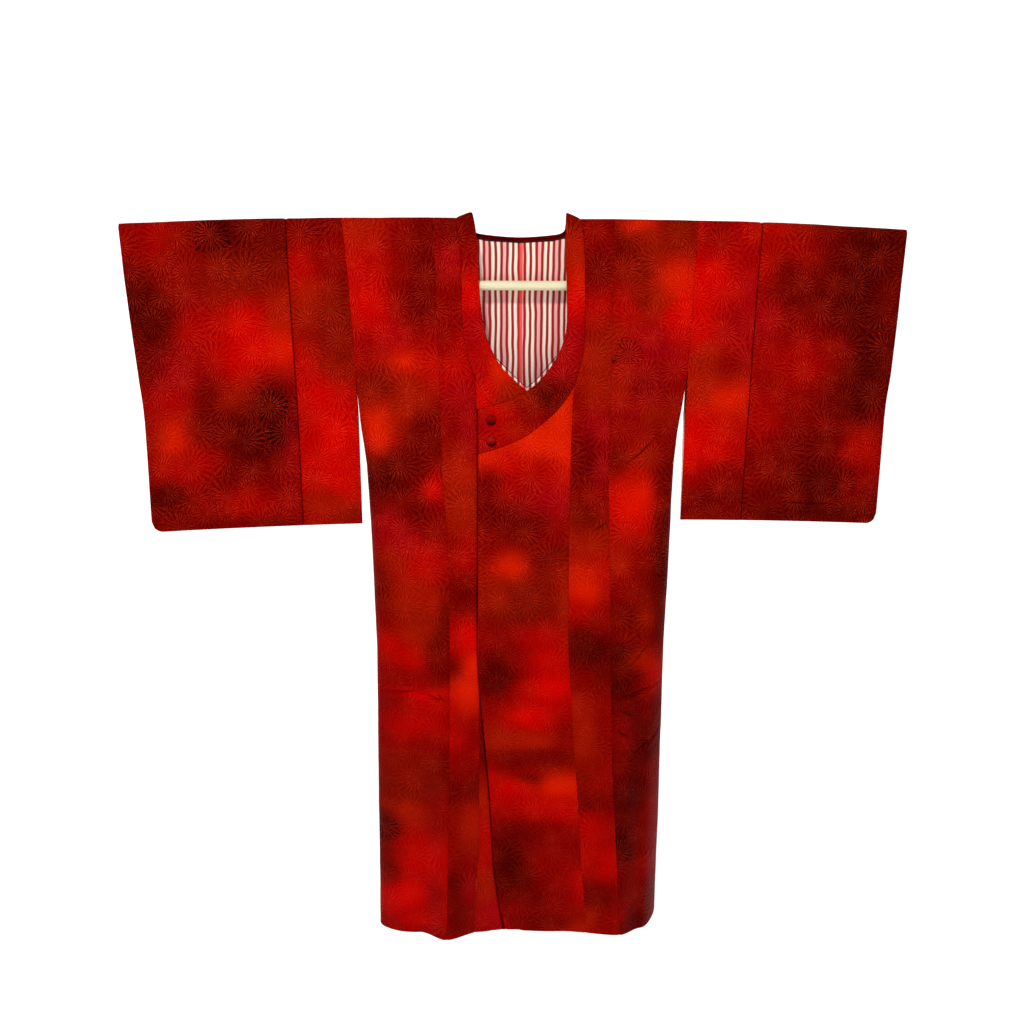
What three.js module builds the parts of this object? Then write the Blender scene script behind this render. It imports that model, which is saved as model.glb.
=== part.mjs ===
// A full-length lined kimono coat with a round collar and two covered buttons,
// hanging on a plain rod hanger. Sizes are in millimetres and +Z is up. The front
// faces -Y, and the wearer's left side is +X. The origin is the middle of the
// hanger's crossbar, where the part is held.
//
// Places on the cloth are given by x and by `depth`, the height below the shoulder
// fold. `down` is the same place measured along the cloth from the top of the fold.

import * as THREE from 'three';

// ---- Driving sizes ---------------------------------------------------------

const COAT_LENGTH = 1223;
const SLEEVE_DROP = 489;
const ARMHOLE = 235;
const CUFF_OPENING = 230;
const CUFF_CLOSES = 60;
const CUFF_BLEND = 70;
const SLEEVE_TAPER = 1.5;
const SIDE_SLIT_END = 370;
const PARTED_AT = SIDE_SLIT_END;
const BAR_DROP = 104;

const WALL = 1.4;
const LINING_WALL = 1.2;
const BAND_WALL = 2.0;
const BAND_PROUD = BAND_WALL - WALL;
const SEAM_GAP = 0.3;
const LAP_GAP = 0.6;
const LAP_LIFT = BAND_PROUD + LAP_GAP + WALL;
const LAP_FADE = { x: [80, 150], depth: [60, 250] };

const ROD_RADIUS = 7.5;
const ROD_SEAT = 0.5;
const FOLD_RADIUS = ROD_RADIUS + ROD_SEAT + WALL;
const FOLD_QUARTER = (FOLD_RADIUS * Math.PI) / 2;
const FOLD_STEPS = 4;
const ARM_REACH = 598;
const UPRIGHT_X = 95;
const ROD_BEND = 24;
const ROD_SIDES = 8;
const ROD_STEPS = 96;

const SHOULDER_BOW = 12.5;
const BOW_FROM = 150;
const BOW_TO = 628;
const BAND_WIDTH = 30;
const COLLAR_RAISE = 9;
const COLLAR_RAISE_ENDS = 60;

// How far front and back stand out beyond the fold at full fullness, and the depths
// between which that fullness grows. Below HEM_FROM it turns into the hem's waves.
const FULLNESS = {
  front: { out: 17, from: 15, to: 350 },
  back: { out: 12, from: 15, to: 180 },
};
const HEM_FROM = 260;
const SLEEVE_BLEND = 80;
const ROUND_GROWS_FROM = 400;
const SIDE_ROUND_TOP = 26;
const SIDE_ROUND_HEM = 45;
const SLEEVE_CORNER = 18;
const SLEEVE_CORNER_FROM = 0.925;
const HEM_CORNER = 37;
const HEM_CORNER_FROM = 0.75;
const HEM_CORNER_POWER = 2.2;

const LINING_DEPTH = 320;
const LINING_SETBACK = 4;
const LINING_CLEARANCE = 2;
const LIP_SHOWN = 7;
const LIP_HIDDEN = 12;
const NECK_MIDDLE_DEPTH = 150;

const BUTTON_RADIUS = 7.8;
const BUTTON_HEIGHT = 5.6;
const BUTTON_SEAT = 0.5;
const BUTTONS = [
  { name: 'button_upper', x: -55, depth: 317 },
  { name: 'button_lower', x: -55, depth: 351 },
];

// ---- Tables ----------------------------------------------------------------

// Distance of the sleeve's edges and of its lengthwise seam from the middle.
const SLEEVE_EDGES = {
  left: [
    { depth: 0, inner: 279, seam: 384, outer: 624 },
    { depth: 80, inner: 276, seam: 380.5, outer: 619.5 },
    { depth: 145, inner: 273.5, seam: 378, outer: 617 },
    { depth: ARMHOLE, inner: 270, seam: 375.5, outer: 612 },
    { depth: 310, inner: 267.5, seam: 373.5, outer: 609 },
    { depth: SLEEVE_DROP, inner: 266, seam: 370, outer: 605.5 },
  ],
  right: [
    { depth: 0, inner: 288, seam: 374, outer: 629 },
    { depth: 80, inner: 281, seam: 372.5, outer: 625 },
    { depth: 145, inner: 277, seam: 371, outer: 620.5 },
    { depth: ARMHOLE, inner: 272.5, seam: 368, outer: 613.5 },
    { depth: 310, inner: 270, seam: 366, outer: 610 },
    { depth: SLEEVE_DROP, inner: 268, seam: 365, outer: 609.5 },
  ],
};

// Distance of the body's side from the middle, below the armhole, and how far the
// side seam lies behind the plane of the hanger.
const BODY_SIDES = {
  left: [
    { depth: ARMHOLE, reach: 270, behind: 0 },
    { depth: 320, reach: 258, behind: 0 },
    { depth: 390, reach: 252, behind: 0 },
    { depth: 560, reach: 247, behind: 0 },
    { depth: 700, reach: 244.5, behind: 4 },
    { depth: 885, reach: 245, behind: 14 },
    { depth: 1036, reach: 247, behind: 28 },
    { depth: COAT_LENGTH, reach: 249, behind: 49 },
  ],
  right: [
    { depth: ARMHOLE, reach: 272.5, behind: 0 },
    { depth: 320, reach: 267, behind: 0 },
    { depth: 390, reach: 258.5, behind: 0 },
    { depth: 560, reach: 252, behind: 0 },
    { depth: 700, reach: 249.5, behind: 1 },
    { depth: 885, reach: 252, behind: 5 },
    { depth: 1036, reach: 254, behind: 10 },
    { depth: COAT_LENGTH, reach: 257, behind: 17 },
  ],
};

// Lengthwise seam in each front, between its side panel and its middle panel.
const INSET_SEAMS = {
  left: [
    { depth: 0, x: 144 },
    { depth: 240, x: 140 },
    { depth: 430, x: 138 },
    { depth: 590, x: 143 },
    { depth: 724, x: 145 },
    { depth: 924, x: 150 },
    { depth: 1094, x: 160 },
    { depth: COAT_LENGTH, x: 166 },
  ],
  right: [
    { depth: 0, x: 145 },
    { depth: 240, x: 138 },
    { depth: 430, x: 134 },
    { depth: 500, x: 128 },
    { depth: 616, x: 125 },
    { depth: 790, x: 127 },
    { depth: 950, x: 130 },
    { depth: COAT_LENGTH, x: 137 },
  ],
};

// Seam of each overlap panel with its front, and the panel's free edge. Both are
// measured from the middle towards the panel's own side, so the free edge, which
// lies across the middle, is negative.
const OVERLAPS = {
  left: [
    { depth: 262, seam: 80, edge: -76 },
    { depth: 300, seam: 77, edge: -76 },
    { depth: 367, seam: 75, edge: -76 },
    { depth: 503, seam: 73, edge: -77 },
    { depth: 700, seam: 73.5, edge: -79 },
    { depth: 787, seam: 79, edge: -75 },
    { depth: 876, seam: 84, edge: -67 },
    { depth: 959, seam: 91, edge: -60 },
    { depth: 1111, seam: 100, edge: -52 },
    { depth: 1186, seam: 107, edge: -42 },
    { depth: COAT_LENGTH, seam: 109, edge: -36 },
  ],
  right: [
    { depth: 252, seam: 79, edge: -73 },
    { depth: 366, seam: 77, edge: -73 },
    { depth: 700, seam: 77, edge: -72 },
    { depth: 914, seam: 78, edge: -66 },
    { depth: 1075, seam: 80, edge: -58 },
    { depth: 1159, seam: 86, edge: -50 },
    { depth: COAT_LENGTH, seam: 87, edge: -42 },
  ],
};

// The collar band of each front, from the shoulder to its end across the middle:
// its neck edge and its sewn edge. x is towards the band's own side.
const FRONT_BANDS = {
  left: [
    { neckX: 67, neckDepth: 0, sewnX: 88, sewnDepth: 0 },
    { neckX: 65, neckDepth: 34, sewnX: 95, sewnDepth: 34 },
    { neckX: 67, neckDepth: 100, sewnX: 97, sewnDepth: 100 },
    { neckX: 67, neckDepth: 165, sewnX: 97, sewnDepth: 160 },
    { neckX: 61, neckDepth: 195, sewnX: 94, sewnDepth: 212 },
    { neckX: 46, neckDepth: 226, sewnX: 80, sewnDepth: 262 },
    { neckX: 26, neckDepth: 252, sewnX: 58, sewnDepth: 296 },
    { neckX: 3, neckDepth: 271, sewnX: 32, sewnDepth: 321 },
    { neckX: -24, neckDepth: 285, sewnX: 0, sewnDepth: 345 },
    { neckX: -50, neckDepth: 294, sewnX: -36, sewnDepth: 361 },
    { neckX: -76, neckDepth: 302, sewnX: -76, sewnDepth: 373 },
  ],
  right: [
    { neckX: 84, neckDepth: 0, sewnX: 108, sewnDepth: 0 },
    { neckX: 76, neckDepth: 34, sewnX: 104, sewnDepth: 34 },
    { neckX: 73, neckDepth: 100, sewnX: 101, sewnDepth: 100 },
    { neckX: 67, neckDepth: 160, sewnX: 100, sewnDepth: 160 },
    { neckX: 57, neckDepth: 197, sewnX: 93, sewnDepth: 212 },
    { neckX: 39, neckDepth: 231, sewnX: 79, sewnDepth: 252 },
    { neckX: 19, neckDepth: 252, sewnX: 60, sewnDepth: 286 },
    { neckX: -3, neckDepth: 271, sewnX: 34, sewnDepth: 312 },
    { neckX: -27, neckDepth: 284, sewnX: 2, sewnDepth: 338 },
    { neckX: -50, neckDepth: 293, sewnX: -34, sewnDepth: 356 },
    { neckX: -73, neckDepth: 301, sewnX: -73, sewnDepth: 369 },
  ],
};
const SEAM_ROW = 5;

// The collar band across the back, from the left shoulder to the right. The two end
// rows are those of the front bands.
const BACK_BAND = [
  { neckX: 67, neckDepth: 0, sewnX: 88, sewnDepth: 0 },
  { neckX: 67, neckDepth: 14, sewnX: 92, sewnDepth: 22 },
  { neckX: 63, neckDepth: 24, sewnX: 84, sewnDepth: 46 },
  { neckX: 45, neckDepth: 28, sewnX: 52, sewnDepth: 57 },
  { neckX: -8, neckDepth: 31, sewnX: -8, sewnDepth: 61 },
  { neckX: -61, neckDepth: 28, sewnX: -68, sewnDepth: 57 },
  { neckX: -79, neckDepth: 24, sewnX: -100, sewnDepth: 46 },
  { neckX: -83, neckDepth: 14, sewnX: -108, sewnDepth: 22 },
  { neckX: -84, neckDepth: 0, sewnX: -108, sewnDepth: 0 },
];

// How far the cloth stands out at the hem, before and behind the hanger's plane.
const FRONT_HEM = [
  { x: -257, out: 12 },
  { x: -185, out: 23 },
  { x: -137, out: 50 },
  { x: -79, out: 30 },
  { x: -43, out: 25 },
  { x: 63, out: 34 },
  { x: 167, out: 55 },
  { x: 208, out: 36 },
  { x: 249, out: 18 },
];
const BACK_HEM = [
  { x: -257, out: 26 },
  { x: -120, out: 34 },
  { x: 0, out: 38 },
  { x: 130, out: 48 },
  { x: 249, out: 62 },
];

const FRONT_DEPTHS = [310, PARTED_AT, 425, 503, 616, 724, 850, 959, 1060, 1140, 1190, COAT_LENGTH];
const BACK_DEPTHS = [80, 145, ARMHOLE, 310, PARTED_AT, 425, 503, 616, 724, 850, 959, 1090, COAT_LENGTH];
const SLEEVE_DEPTHS = [310, 380, 440, SLEEVE_DROP];
const CORNER_TURNS = [0.35, 0.65, 0.88, 1];
const SIDE_TURNS = [0.7, 0.8, 0.9, 1];

// ---- Small tools -----------------------------------------------------------

const mix = (from, to, share) => from + (to - from) * share;

/** Smooth step from 0 at `from` to 1 at `to`. */
function ramp(from, to, value) {
  const share = Math.min(Math.max((value - from) / (to - from), 0), 1);
  return share * share * (3 - 2 * share);
}

/** A column of a table at a place along its key column, with straight or eased steps. */
function along(table, key, place, column, eased = false) {
  let row = 0;
  while (row < table.length - 2 && place > table[row + 1][key]) {
    row += 1;
  }
  const low = table[row];
  const high = table[row + 1];
  const share = (place - low[key]) / (high[key] - low[key]);
  const held = Math.min(Math.max(share, 0), 1);
  return mix(low[column], high[column], eased ? ramp(0, 1, held) : share);
}

/** The two sides: each one's key in the tables and its direction along X. */
const SIDES = [
  { key: 'left', way: 1 },
  { key: 'right', way: -1 },
];

/** Depth and share of the fold's half width at a place `down` the cloth. */
function atFold(down) {
  if (down < FOLD_QUARTER) {
    const angle = down / FOLD_RADIUS;
    return { depth: FOLD_RADIUS * (1 - Math.cos(angle)), share: Math.sin(angle) };
  }
  return { depth: FOLD_RADIUS + down - FOLD_QUARTER, share: 1 };
}

/** The place down the cloth that lies at a depth. */
function downAt(depth) {
  if (depth < FOLD_RADIUS) {
    return FOLD_RADIUS * Math.acos(1 - depth / FOLD_RADIUS);
  }
  return depth - FOLD_RADIUS + FOLD_QUARTER;
}

/** How far the shoulder line has bowed down at x. */
function bow(x) {
  const share = Math.max(Math.abs(x) - BOW_FROM, 0) / (BOW_TO - BOW_FROM);
  return SHOULDER_BOW * share * share;
}

/** Height of the cloth at x and depth. */
const heightAt = (x, depth) => BAR_DROP - bow(x) - depth;

// ---- Surfaces --------------------------------------------------------------

/** Half the thickness of a sleeve's bag at x and depth, to its outer face. */
function sleeveHalf(side, x, depth) {
  const outer = along(SLEEVE_EDGES[side.key], 'depth', depth, 'outer');
  const lower = Math.min(Math.max(depth, 0) / SLEEVE_DROP, 1) ** SLEEVE_TAPER;
  const closing = Math.cos((Math.PI / 2) * lower);
  const sewn = ramp(CUFF_OPENING, CUFF_OPENING + CUFF_CLOSES, depth);
  const nearCuff = 1 - ramp(0, CUFF_BLEND, outer - Math.abs(x));
  return WALL + (FOLD_RADIUS - WALL) * closing * (1 - sewn * nearCuff);
}

/** Distance of the body's edge from the middle at a depth. */
function bodyReach(side, depth) {
  if (depth <= ARMHOLE) {
    return along(SLEEVE_EDGES[side.key], 'depth', depth, 'inner') - SEAM_GAP;
  }
  return along(BODY_SIDES[side.key], 'depth', depth, 'reach') - SEAM_GAP;
}

/** How far the front (face -1) or back (face 1) stands out at x and depth. */
function bodyOut(side, face, x, depth) {
  const fullness = face < 0 ? FULLNESS.front : FULLNESS.back;
  const upper = FOLD_RADIUS + fullness.out * ramp(fullness.from, fullness.to, depth);
  const hem = along(face < 0 ? FRONT_HEM : BACK_HEM, 'x', x, 'out', true);
  const out = mix(upper, hem, ramp(HEM_FROM, COAT_LENGTH, depth));
  const reach = bodyReach(side, depth);
  const toSleeve = ramp(reach - SLEEVE_BLEND, reach, Math.abs(x)) * (1 - sideClosed(depth));
  return mix(out, sleeveHalf(side, reach, depth), toSleeve);
}

/** 0 where front and back lie apart at the armhole, 1 where the side seam joins them. */
const sideClosed = (depth) => ramp(ARMHOLE, SIDE_SLIT_END, depth);

/** How far the left front's layers are lifted over the right front. */
function lapLift(x, depth) {
  return LAP_LIFT * (1 - ramp(...LAP_FADE.x, x)) * ramp(...LAP_FADE.depth, depth);
}

/** Point of a body panel at x and a place down the cloth, `out` beyond its outer face. */
function bodyPoint(side, face, x, down, out = 0) {
  const { depth, share } = atFold(down);
  const lift = out + (face < 0 && side.way > 0 ? lapLift(x, depth) : 0);
  const y = face * (share * (bodyOut(side, face, x, depth) + lift) + SEAM_GAP / 2);
  const upwards = lift * Math.sqrt(1 - share * share);
  return new THREE.Vector3(x, y, heightAt(x, depth) + upwards);
}

const ROUND_FROM = 0.6;

/** Point of a side panel: u is 0 at its inner seam and 1 at the side seam. */
function sidePoint(side, face, innerX, u, down) {
  const { depth, share } = atFold(down);
  const reach = bodyReach(side, depth);
  const closed = sideClosed(depth);
  const roundGrowth = ramp(ROUND_GROWS_FROM, COAT_LENGTH, depth);
  const round = mix(SIDE_ROUND_TOP, SIDE_ROUND_HEM, roundGrowth);
  const angle = (Math.max(u - ROUND_FROM, 0) / (1 - ROUND_FROM)) * (Math.PI / 2);
  const flat = mix(innerX, reach - round, Math.min(u / ROUND_FROM, 1));
  const x = mix(mix(innerX, reach, u), flat + round * Math.sin(angle), closed);
  const fullness = mix(1, Math.cos(angle), closed);
  const seamY = along(BODY_SIDES[side.key], 'depth', Math.max(depth, ARMHOLE), 'behind');
  const flatPoint = bodyPoint(side, face, side.way * x, down);
  flatPoint.y = mix(seamY * share + (face * SEAM_GAP) / 2, flatPoint.y, fullness);
  return flatPoint;
}

// ---- Solids ----------------------------------------------------------------

/** Signed volume inside a list of triangles. */
function volumeOf(points, triangles) {
  let six = 0;
  const cross = new THREE.Vector3();
  for (const [a, b, c] of triangles) {
    six += points[a].dot(cross.crossVectors(points[b], points[c]));
  }
  return six / 6;
}

/** Geometry of a closed body from its points and triangles, turned to face out. */
function bodyFrom(points, triangles) {
  const turned = volumeOf(points, triangles) < 0;
  const index = triangles.flatMap(([a, b, c]) => (turned ? [a, c, b] : [a, b, c]));
  const geometry = new THREE.BufferGeometry().setFromPoints(points);
  geometry.setIndex(index);
  geometry.computeVertexNormals();
  return geometry;
}

/**
 * A wall of cloth. `at(u, v)` gives its outer face for every u in `columns` and v in
 * `rows`; the inner face lies `wall` behind it, away from `outward`.
 */
function wallOf(at, columns, rows, wall, outward) {
  const step = 1e-3;
  const outer = [];
  const inner = [];
  const middle = at(columns[columns.length >> 1], rows[rows.length >> 1]);
  const normalAt = (u, v) => {
    const across = at(u + step, v).sub(at(u - step, v));
    const downwards = at(u, v + step).sub(at(u, v - step));
    return across.cross(downwards).normalize();
  };
  const middleNormal = normalAt(columns[columns.length >> 1], rows[rows.length >> 1]);
  const turn = middleNormal.dot(outward(middle)) < 0 ? -1 : 1;
  for (const v of rows) {
    for (const u of columns) {
      const point = at(u, v);
      outer.push(point);
      inner.push(point.clone().addScaledVector(normalAt(u, v), -wall * turn));
    }
  }
  const width = columns.length;
  const height = rows.length;
  const far = outer.length;
  const triangles = [];
  const quad = (a, b, c, d) => triangles.push([a, b, c], [a, c, d]);
  for (let row = 0; row + 1 < height; row += 1) {
    for (let column = 0; column + 1 < width; column += 1) {
      const corner = row * width + column;
      quad(corner, corner + 1, corner + width + 1, corner + width);
      quad(far + corner + width, far + corner + width + 1, far + corner + 1, far + corner);
    }
  }
  for (let column = 0; column + 1 < width; column += 1) {
    const bottom = (height - 1) * width + column;
    quad(column + 1, column, far + column, far + column + 1);
    quad(bottom, bottom + 1, far + bottom + 1, far + bottom);
  }
  for (let row = 0; row + 1 < height; row += 1) {
    const start = row * width;
    const end = start + width - 1;
    quad(start, start + width, far + start + width, far + start);
    quad(end + width, end, far + end, far + end + width);
  }
  return bodyFrom([...outer, ...inner], triangles);
}

const forwards = () => new THREE.Vector3(0, -1, 0);
const backwards = () => new THREE.Vector3(0, 1, 0);
const facing = (face) => (face < 0 ? forwards : backwards);

/** Numbers from `from` to `to` in equal steps. */
function spread(from, to, steps) {
  return Array.from({ length: steps + 1 }, (_, index) => mix(from, to, index / steps));
}

const FOLD_ROWS = spread(0, FOLD_QUARTER, FOLD_STEPS);

/** The two lengths in which fronts and backs hang: above and below PARTED_AT. */
const LENGTHS = ['upper', 'lower'];

/** The rows of one length of a panel, with half a gap where the two lengths meet. */
function rowsOf(length, rows) {
  const parting = downAt(PARTED_AT);
  if (length === 'upper') {
    return [...rows.filter((down) => down < parting), parting - SEAM_GAP / 2];
  }
  return [parting + SEAM_GAP / 2, ...rows.filter((down) => down > parting)];
}

// ---- Collar bands ----------------------------------------------------------

/** Stations of a band: its table rows with a smooth station between each two. */
function bandStations(rows) {
  const columns = ['neckX', 'neckDepth', 'sewnX', 'sewnDepth'];
  const stations = [rows[0]];
  for (let row = 0; row + 1 < rows.length; row += 1) {
    const around = [rows[Math.max(row - 1, 0)], rows[row], rows[row + 1]];
    around.push(rows[Math.min(row + 2, rows.length - 1)]);
    const between = {};
    for (const column of columns) {
      const [a, b, c, d] = around.map((each) => each[column]);
      between[column] = (9 * (b + c) - a - d) / 16;
    }
    stations.push(between, rows[row + 1]);
  }
  return stations;
}

/** Point of a band's outer face: `across` is 0 at the neck edge, `station` runs along. */
function bandPoint(stations, side, face, across, station) {
  const index = Math.min(Math.max(Math.floor(station), 0), stations.length - 2);
  const share = station - index;
  const place = (column) => mix(stations[index][column], stations[index + 1][column], share);
  const downOf = (column) => {
    const ends = [downAt(stations[index][column]), downAt(stations[index + 1][column])];
    return mix(ends[0], ends[1], share);
  };
  const x = mix(place('neckX'), place('sewnX'), across);
  const down = mix(downOf('neckDepth'), downOf('sewnDepth'), across);
  const point = bodyPoint(side, face, side.way * x, down, BAND_PROUD);
  point.z += COLLAR_RAISE * (1 - across) * (1 - ramp(0, COLLAR_RAISE_ENDS, Math.abs(down)));
  return point;
}

const BAND_ACROSS = [0, 0.5, 1];
const BAND_SHARE = 1 - SEAM_GAP / BAND_WIDTH;
const FOLD_FRACTIONS = [0.25, 0.5, 0.75];

/** The sewn edge of a band's stations by places down the cloth. */
function sewnEdge(stations, way = 1) {
  return stations.map(({ sewnX, sewnDepth }) => ({ x: way * sewnX, down: downAt(sewnDepth) }));
}

function frontBand(side) {
  const stations = bandStations(FRONT_BANDS[side.key]);
  const rows = spread(0, stations.length - 1, stations.length - 1);
  rows.splice(1, 0, ...FOLD_FRACTIONS);
  const at = (across, station) => bandPoint(stations, side, -1, across * BAND_SHARE, station);
  return wallOf(at, BAND_ACROSS, rows, BAND_WALL, forwards);
}

function backBand() {
  const stations = bandStations(BACK_BAND);
  const rows = spread(0, stations.length - 1, stations.length - 1);
  const last = rows[rows.length - 1];
  rows.splice(rows.length - 1, 0, ...FOLD_FRACTIONS.map((share) => last - 1 + share));
  rows.splice(1, 0, ...FOLD_FRACTIONS);
  const at = (across, station) => bandPoint(stations, SIDES[0], 1, across * BAND_SHARE, station);
  return wallOf(at, BAND_ACROSS, rows, BAND_WALL, backwards);
}

// ---- Fronts ----------------------------------------------------------------

/** Depths of a band's sewn edge down to the overlap seam. */
function sewnDepths(side) {
  const stations = bandStations(FRONT_BANDS[side.key]).slice(1, 2 * SEAM_ROW + 1);
  return stations.map((station) => station.sewnDepth);
}

/** Places down the cloth where a front's panels have their rows. */
function frontRows(side) {
  const depths = [...sewnDepths(side), ARMHOLE, ...FRONT_DEPTHS].sort((a, b) => a - b);
  return [...FOLD_ROWS, ...depths.map(downAt)];
}

/** x of a front's inner edge: the band's sewn edge, then the overlap's seam. */
function frontInner(side, depth) {
  const stations = bandStations(FRONT_BANDS[side.key]).slice(0, 2 * SEAM_ROW + 1);
  if (depth < stations[stations.length - 1].sewnDepth) {
    return along(sewnEdge(stations), 'down', downAt(depth), 'x');
  }
  return along(OVERLAPS[side.key], 'depth', depth, 'seam');
}

function frontMiddle(side, length) {
  const at = (u, down) => {
    const { depth } = atFold(down);
    const inner = frontInner(side, depth) + SEAM_GAP / 2;
    const outer = along(INSET_SEAMS[side.key], 'depth', depth, 'x') - SEAM_GAP / 2;
    return bodyPoint(side, -1, side.way * mix(inner, outer, u), down);
  };
  return wallOf(at, spread(0, 1, 2), rowsOf(length, frontRows(side)), WALL, forwards);
}

function frontSide(side, length) {
  const at = (u, down) => {
    const { depth } = atFold(down);
    const inner = along(INSET_SEAMS[side.key], 'depth', depth, 'x') + SEAM_GAP / 2;
    return sidePoint(side, -1, inner, u, down);
  };
  const columns = [...spread(0, ROUND_FROM, 3), ...SIDE_TURNS];
  return wallOf(at, columns, rowsOf(length, frontRows(side)), WALL, forwards);
}

/** Overlap panel, hung from the crossing part of its front's band. */
function overlap(side) {
  const table = OVERLAPS[side.key];
  const stations = bandStations(FRONT_BANDS[side.key]).slice(2 * SEAM_ROW);
  const last = stations.length - 1;
  const seamAt = (depth) => along(table, 'depth', depth, 'seam') - SEAM_GAP / 2;
  const edgeAt = (depth) => along(table, 'depth', depth, 'edge');
  const at = (u, v) => {
    const place = Math.min(Math.max(u, 0), 1) * last;
    const index = Math.min(Math.floor(place), last - 1);
    const share = place - index;
    const topX = mix(stations[index].sewnX, stations[index + 1].sewnX, share);
    const sewn = mix(stations[index].sewnDepth, stations[index + 1].sewnDepth, share);
    const top = sewn + SEAM_GAP;
    const inwards = (seamAt(top) - topX) / (seamAt(top) - edgeAt(top));
    const cut = Math.max((inwards - HEM_CORNER_FROM) / (1 - HEM_CORNER_FROM), 0);
    const hem = COAT_LENGTH - HEM_CORNER * cut ** HEM_CORNER_POWER;
    const depth = mix(top, hem, v);
    const x = mix(seamAt(depth), edgeAt(depth), inwards);
    return bodyPoint(side, -1, side.way * x, downAt(depth));
  };
  const first = stations[0].sewnDepth + SEAM_GAP;
  const rows = FRONT_DEPTHS.map((depth) => (depth - first) / (COAT_LENGTH - first));
  return wallOf(at, spread(0, 1, last), [0, ...rows], WALL, forwards);
}

// ---- Back ------------------------------------------------------------------

/** The back band's sewn edge on one side, from the shoulder to the middle. */
function backSewnEdge(side) {
  const all = bandStations(BACK_BAND);
  const ordered = side.way > 0 ? all : all.reverse();
  return sewnEdge(ordered.slice(0, (all.length + 1) / 2), side.way);
}

/** Places down the cloth where the back's panels have their rows. */
function backRows(side) {
  const sewn = backSewnEdge(side).map((station) => station.down + SEAM_GAP);
  const below = sewn.filter((down) => down > FOLD_QUARTER + 1);
  return [...FOLD_ROWS, ...below, ...BACK_DEPTHS.map(downAt)];
}

/** x of a back panel's inner edge: under the band's sewn edge, then the middle seam. */
function backInner(side, depth) {
  const edge = backSewnEdge(side);
  const down = downAt(depth) - SEAM_GAP;
  if (down >= edge[edge.length - 1].down) {
    return SEAM_GAP / 2;
  }
  const x = along(edge, 'down', down, 'x') + SEAM_GAP;
  return Math.max(x, SEAM_GAP / 2);
}

function backPanel(side, length) {
  const at = (u, down) => sidePoint(side, 1, backInner(side, atFold(down).depth), u, down);
  const columns = [...spread(0, ROUND_FROM, 6), ...SIDE_TURNS];
  return wallOf(at, columns, rowsOf(length, backRows(side)), WALL, backwards);
}

// ---- Sleeves ---------------------------------------------------------------

/** Rows of a sleeve: those of the body panel beside it, then its own. */
function sleeveRows(side, face) {
  const beside = face < 0 ? frontRows(side) : backRows(side);
  const shared = beside.filter((down) => down <= downAt(ARMHOLE));
  return [...shared, ...SLEEVE_DEPTHS.map(downAt)];
}

/** Point of a sleeve's outer face. */
function sleevePoint(side, face, x, down) {
  const { depth, share } = atFold(down);
  const y = face * (share * sleeveHalf(side, x, depth) + SEAM_GAP / 2);
  return new THREE.Vector3(side.way * x, y, heightAt(x, depth));
}

/** Part of a sleeve beside the body, as far as its lengthwise seam. */
function sleeveInner(side, face) {
  const edges = SLEEVE_EDGES[side.key];
  const at = (u, down) => {
    const { depth } = atFold(down);
    const inner = along(edges, 'depth', depth, 'inner');
    const seam = along(edges, 'depth', depth, 'seam') - SEAM_GAP / 2;
    return sleevePoint(side, face, mix(inner, seam, u), down);
  };
  return wallOf(at, spread(0, 1, 3), sleeveRows(side, face), WALL, facing(face));
}

/** Part of a sleeve from its lengthwise seam to the cuff, with its round corner. */
function sleeveOuter(side, face) {
  const edges = SLEEVE_EDGES[side.key];
  const bottom = downAt(SLEEVE_DROP);
  const at = (u, down) => {
    const turn = Math.min(Math.max((u - SLEEVE_CORNER_FROM) / (1 - SLEEVE_CORNER_FROM), 0), 1);
    const drop = SLEEVE_CORNER * (1 - Math.sqrt(1 - turn * turn));
    const own = down * (1 - drop / bottom);
    const { depth } = atFold(own);
    const seam = along(edges, 'depth', depth, 'seam') + SEAM_GAP / 2;
    const outer = along(edges, 'depth', depth, 'outer');
    return sleevePoint(side, face, mix(seam, outer, u), own);
  };
  const turns = CORNER_TURNS.map((turn) => mix(SLEEVE_CORNER_FROM, 1, turn));
  const columns = [...spread(0, SLEEVE_CORNER_FROM, 4), ...turns];
  return wallOf(at, columns, sleeveRows(side, face), WALL, facing(face));
}

// ---- Lining ----------------------------------------------------------------

/** The striped lining behind the neck opening, as far as the hanger's uprights. */
function liningBack() {
  const reach = UPRIGHT_X - ROD_RADIUS - LINING_CLEARANCE;
  const neck = BACK_BAND.slice(2, -2).reverse();
  const sewn = BACK_BAND[4].sewnDepth + SEAM_GAP;
  const depthAt = (v) => mix(sewn, LINING_DEPTH, v);
  const at = (x, v) => {
    const held = Math.min(Math.max(x, neck[0].neckX), neck[neck.length - 1].neckX);
    const top = along(neck, 'neckX', held, 'neckDepth') + LINING_SETBACK;
    const depth = v < 0 ? mix(sewn, top, -v) : depthAt(v);
    return bodyPoint(SIDES[0], 1, x, downAt(depth), -WALL - SEAM_GAP);
  };
  const depths = BACK_DEPTHS.filter((depth) => depth <= LINING_DEPTH);
  const rows = depths.map((depth) => (depth - sewn) / (LINING_DEPTH - sewn));
  return wallOf(at, spread(-reach, reach, 8), [-1, -0.5, 0, ...rows], LINING_WALL, backwards);
}

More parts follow.
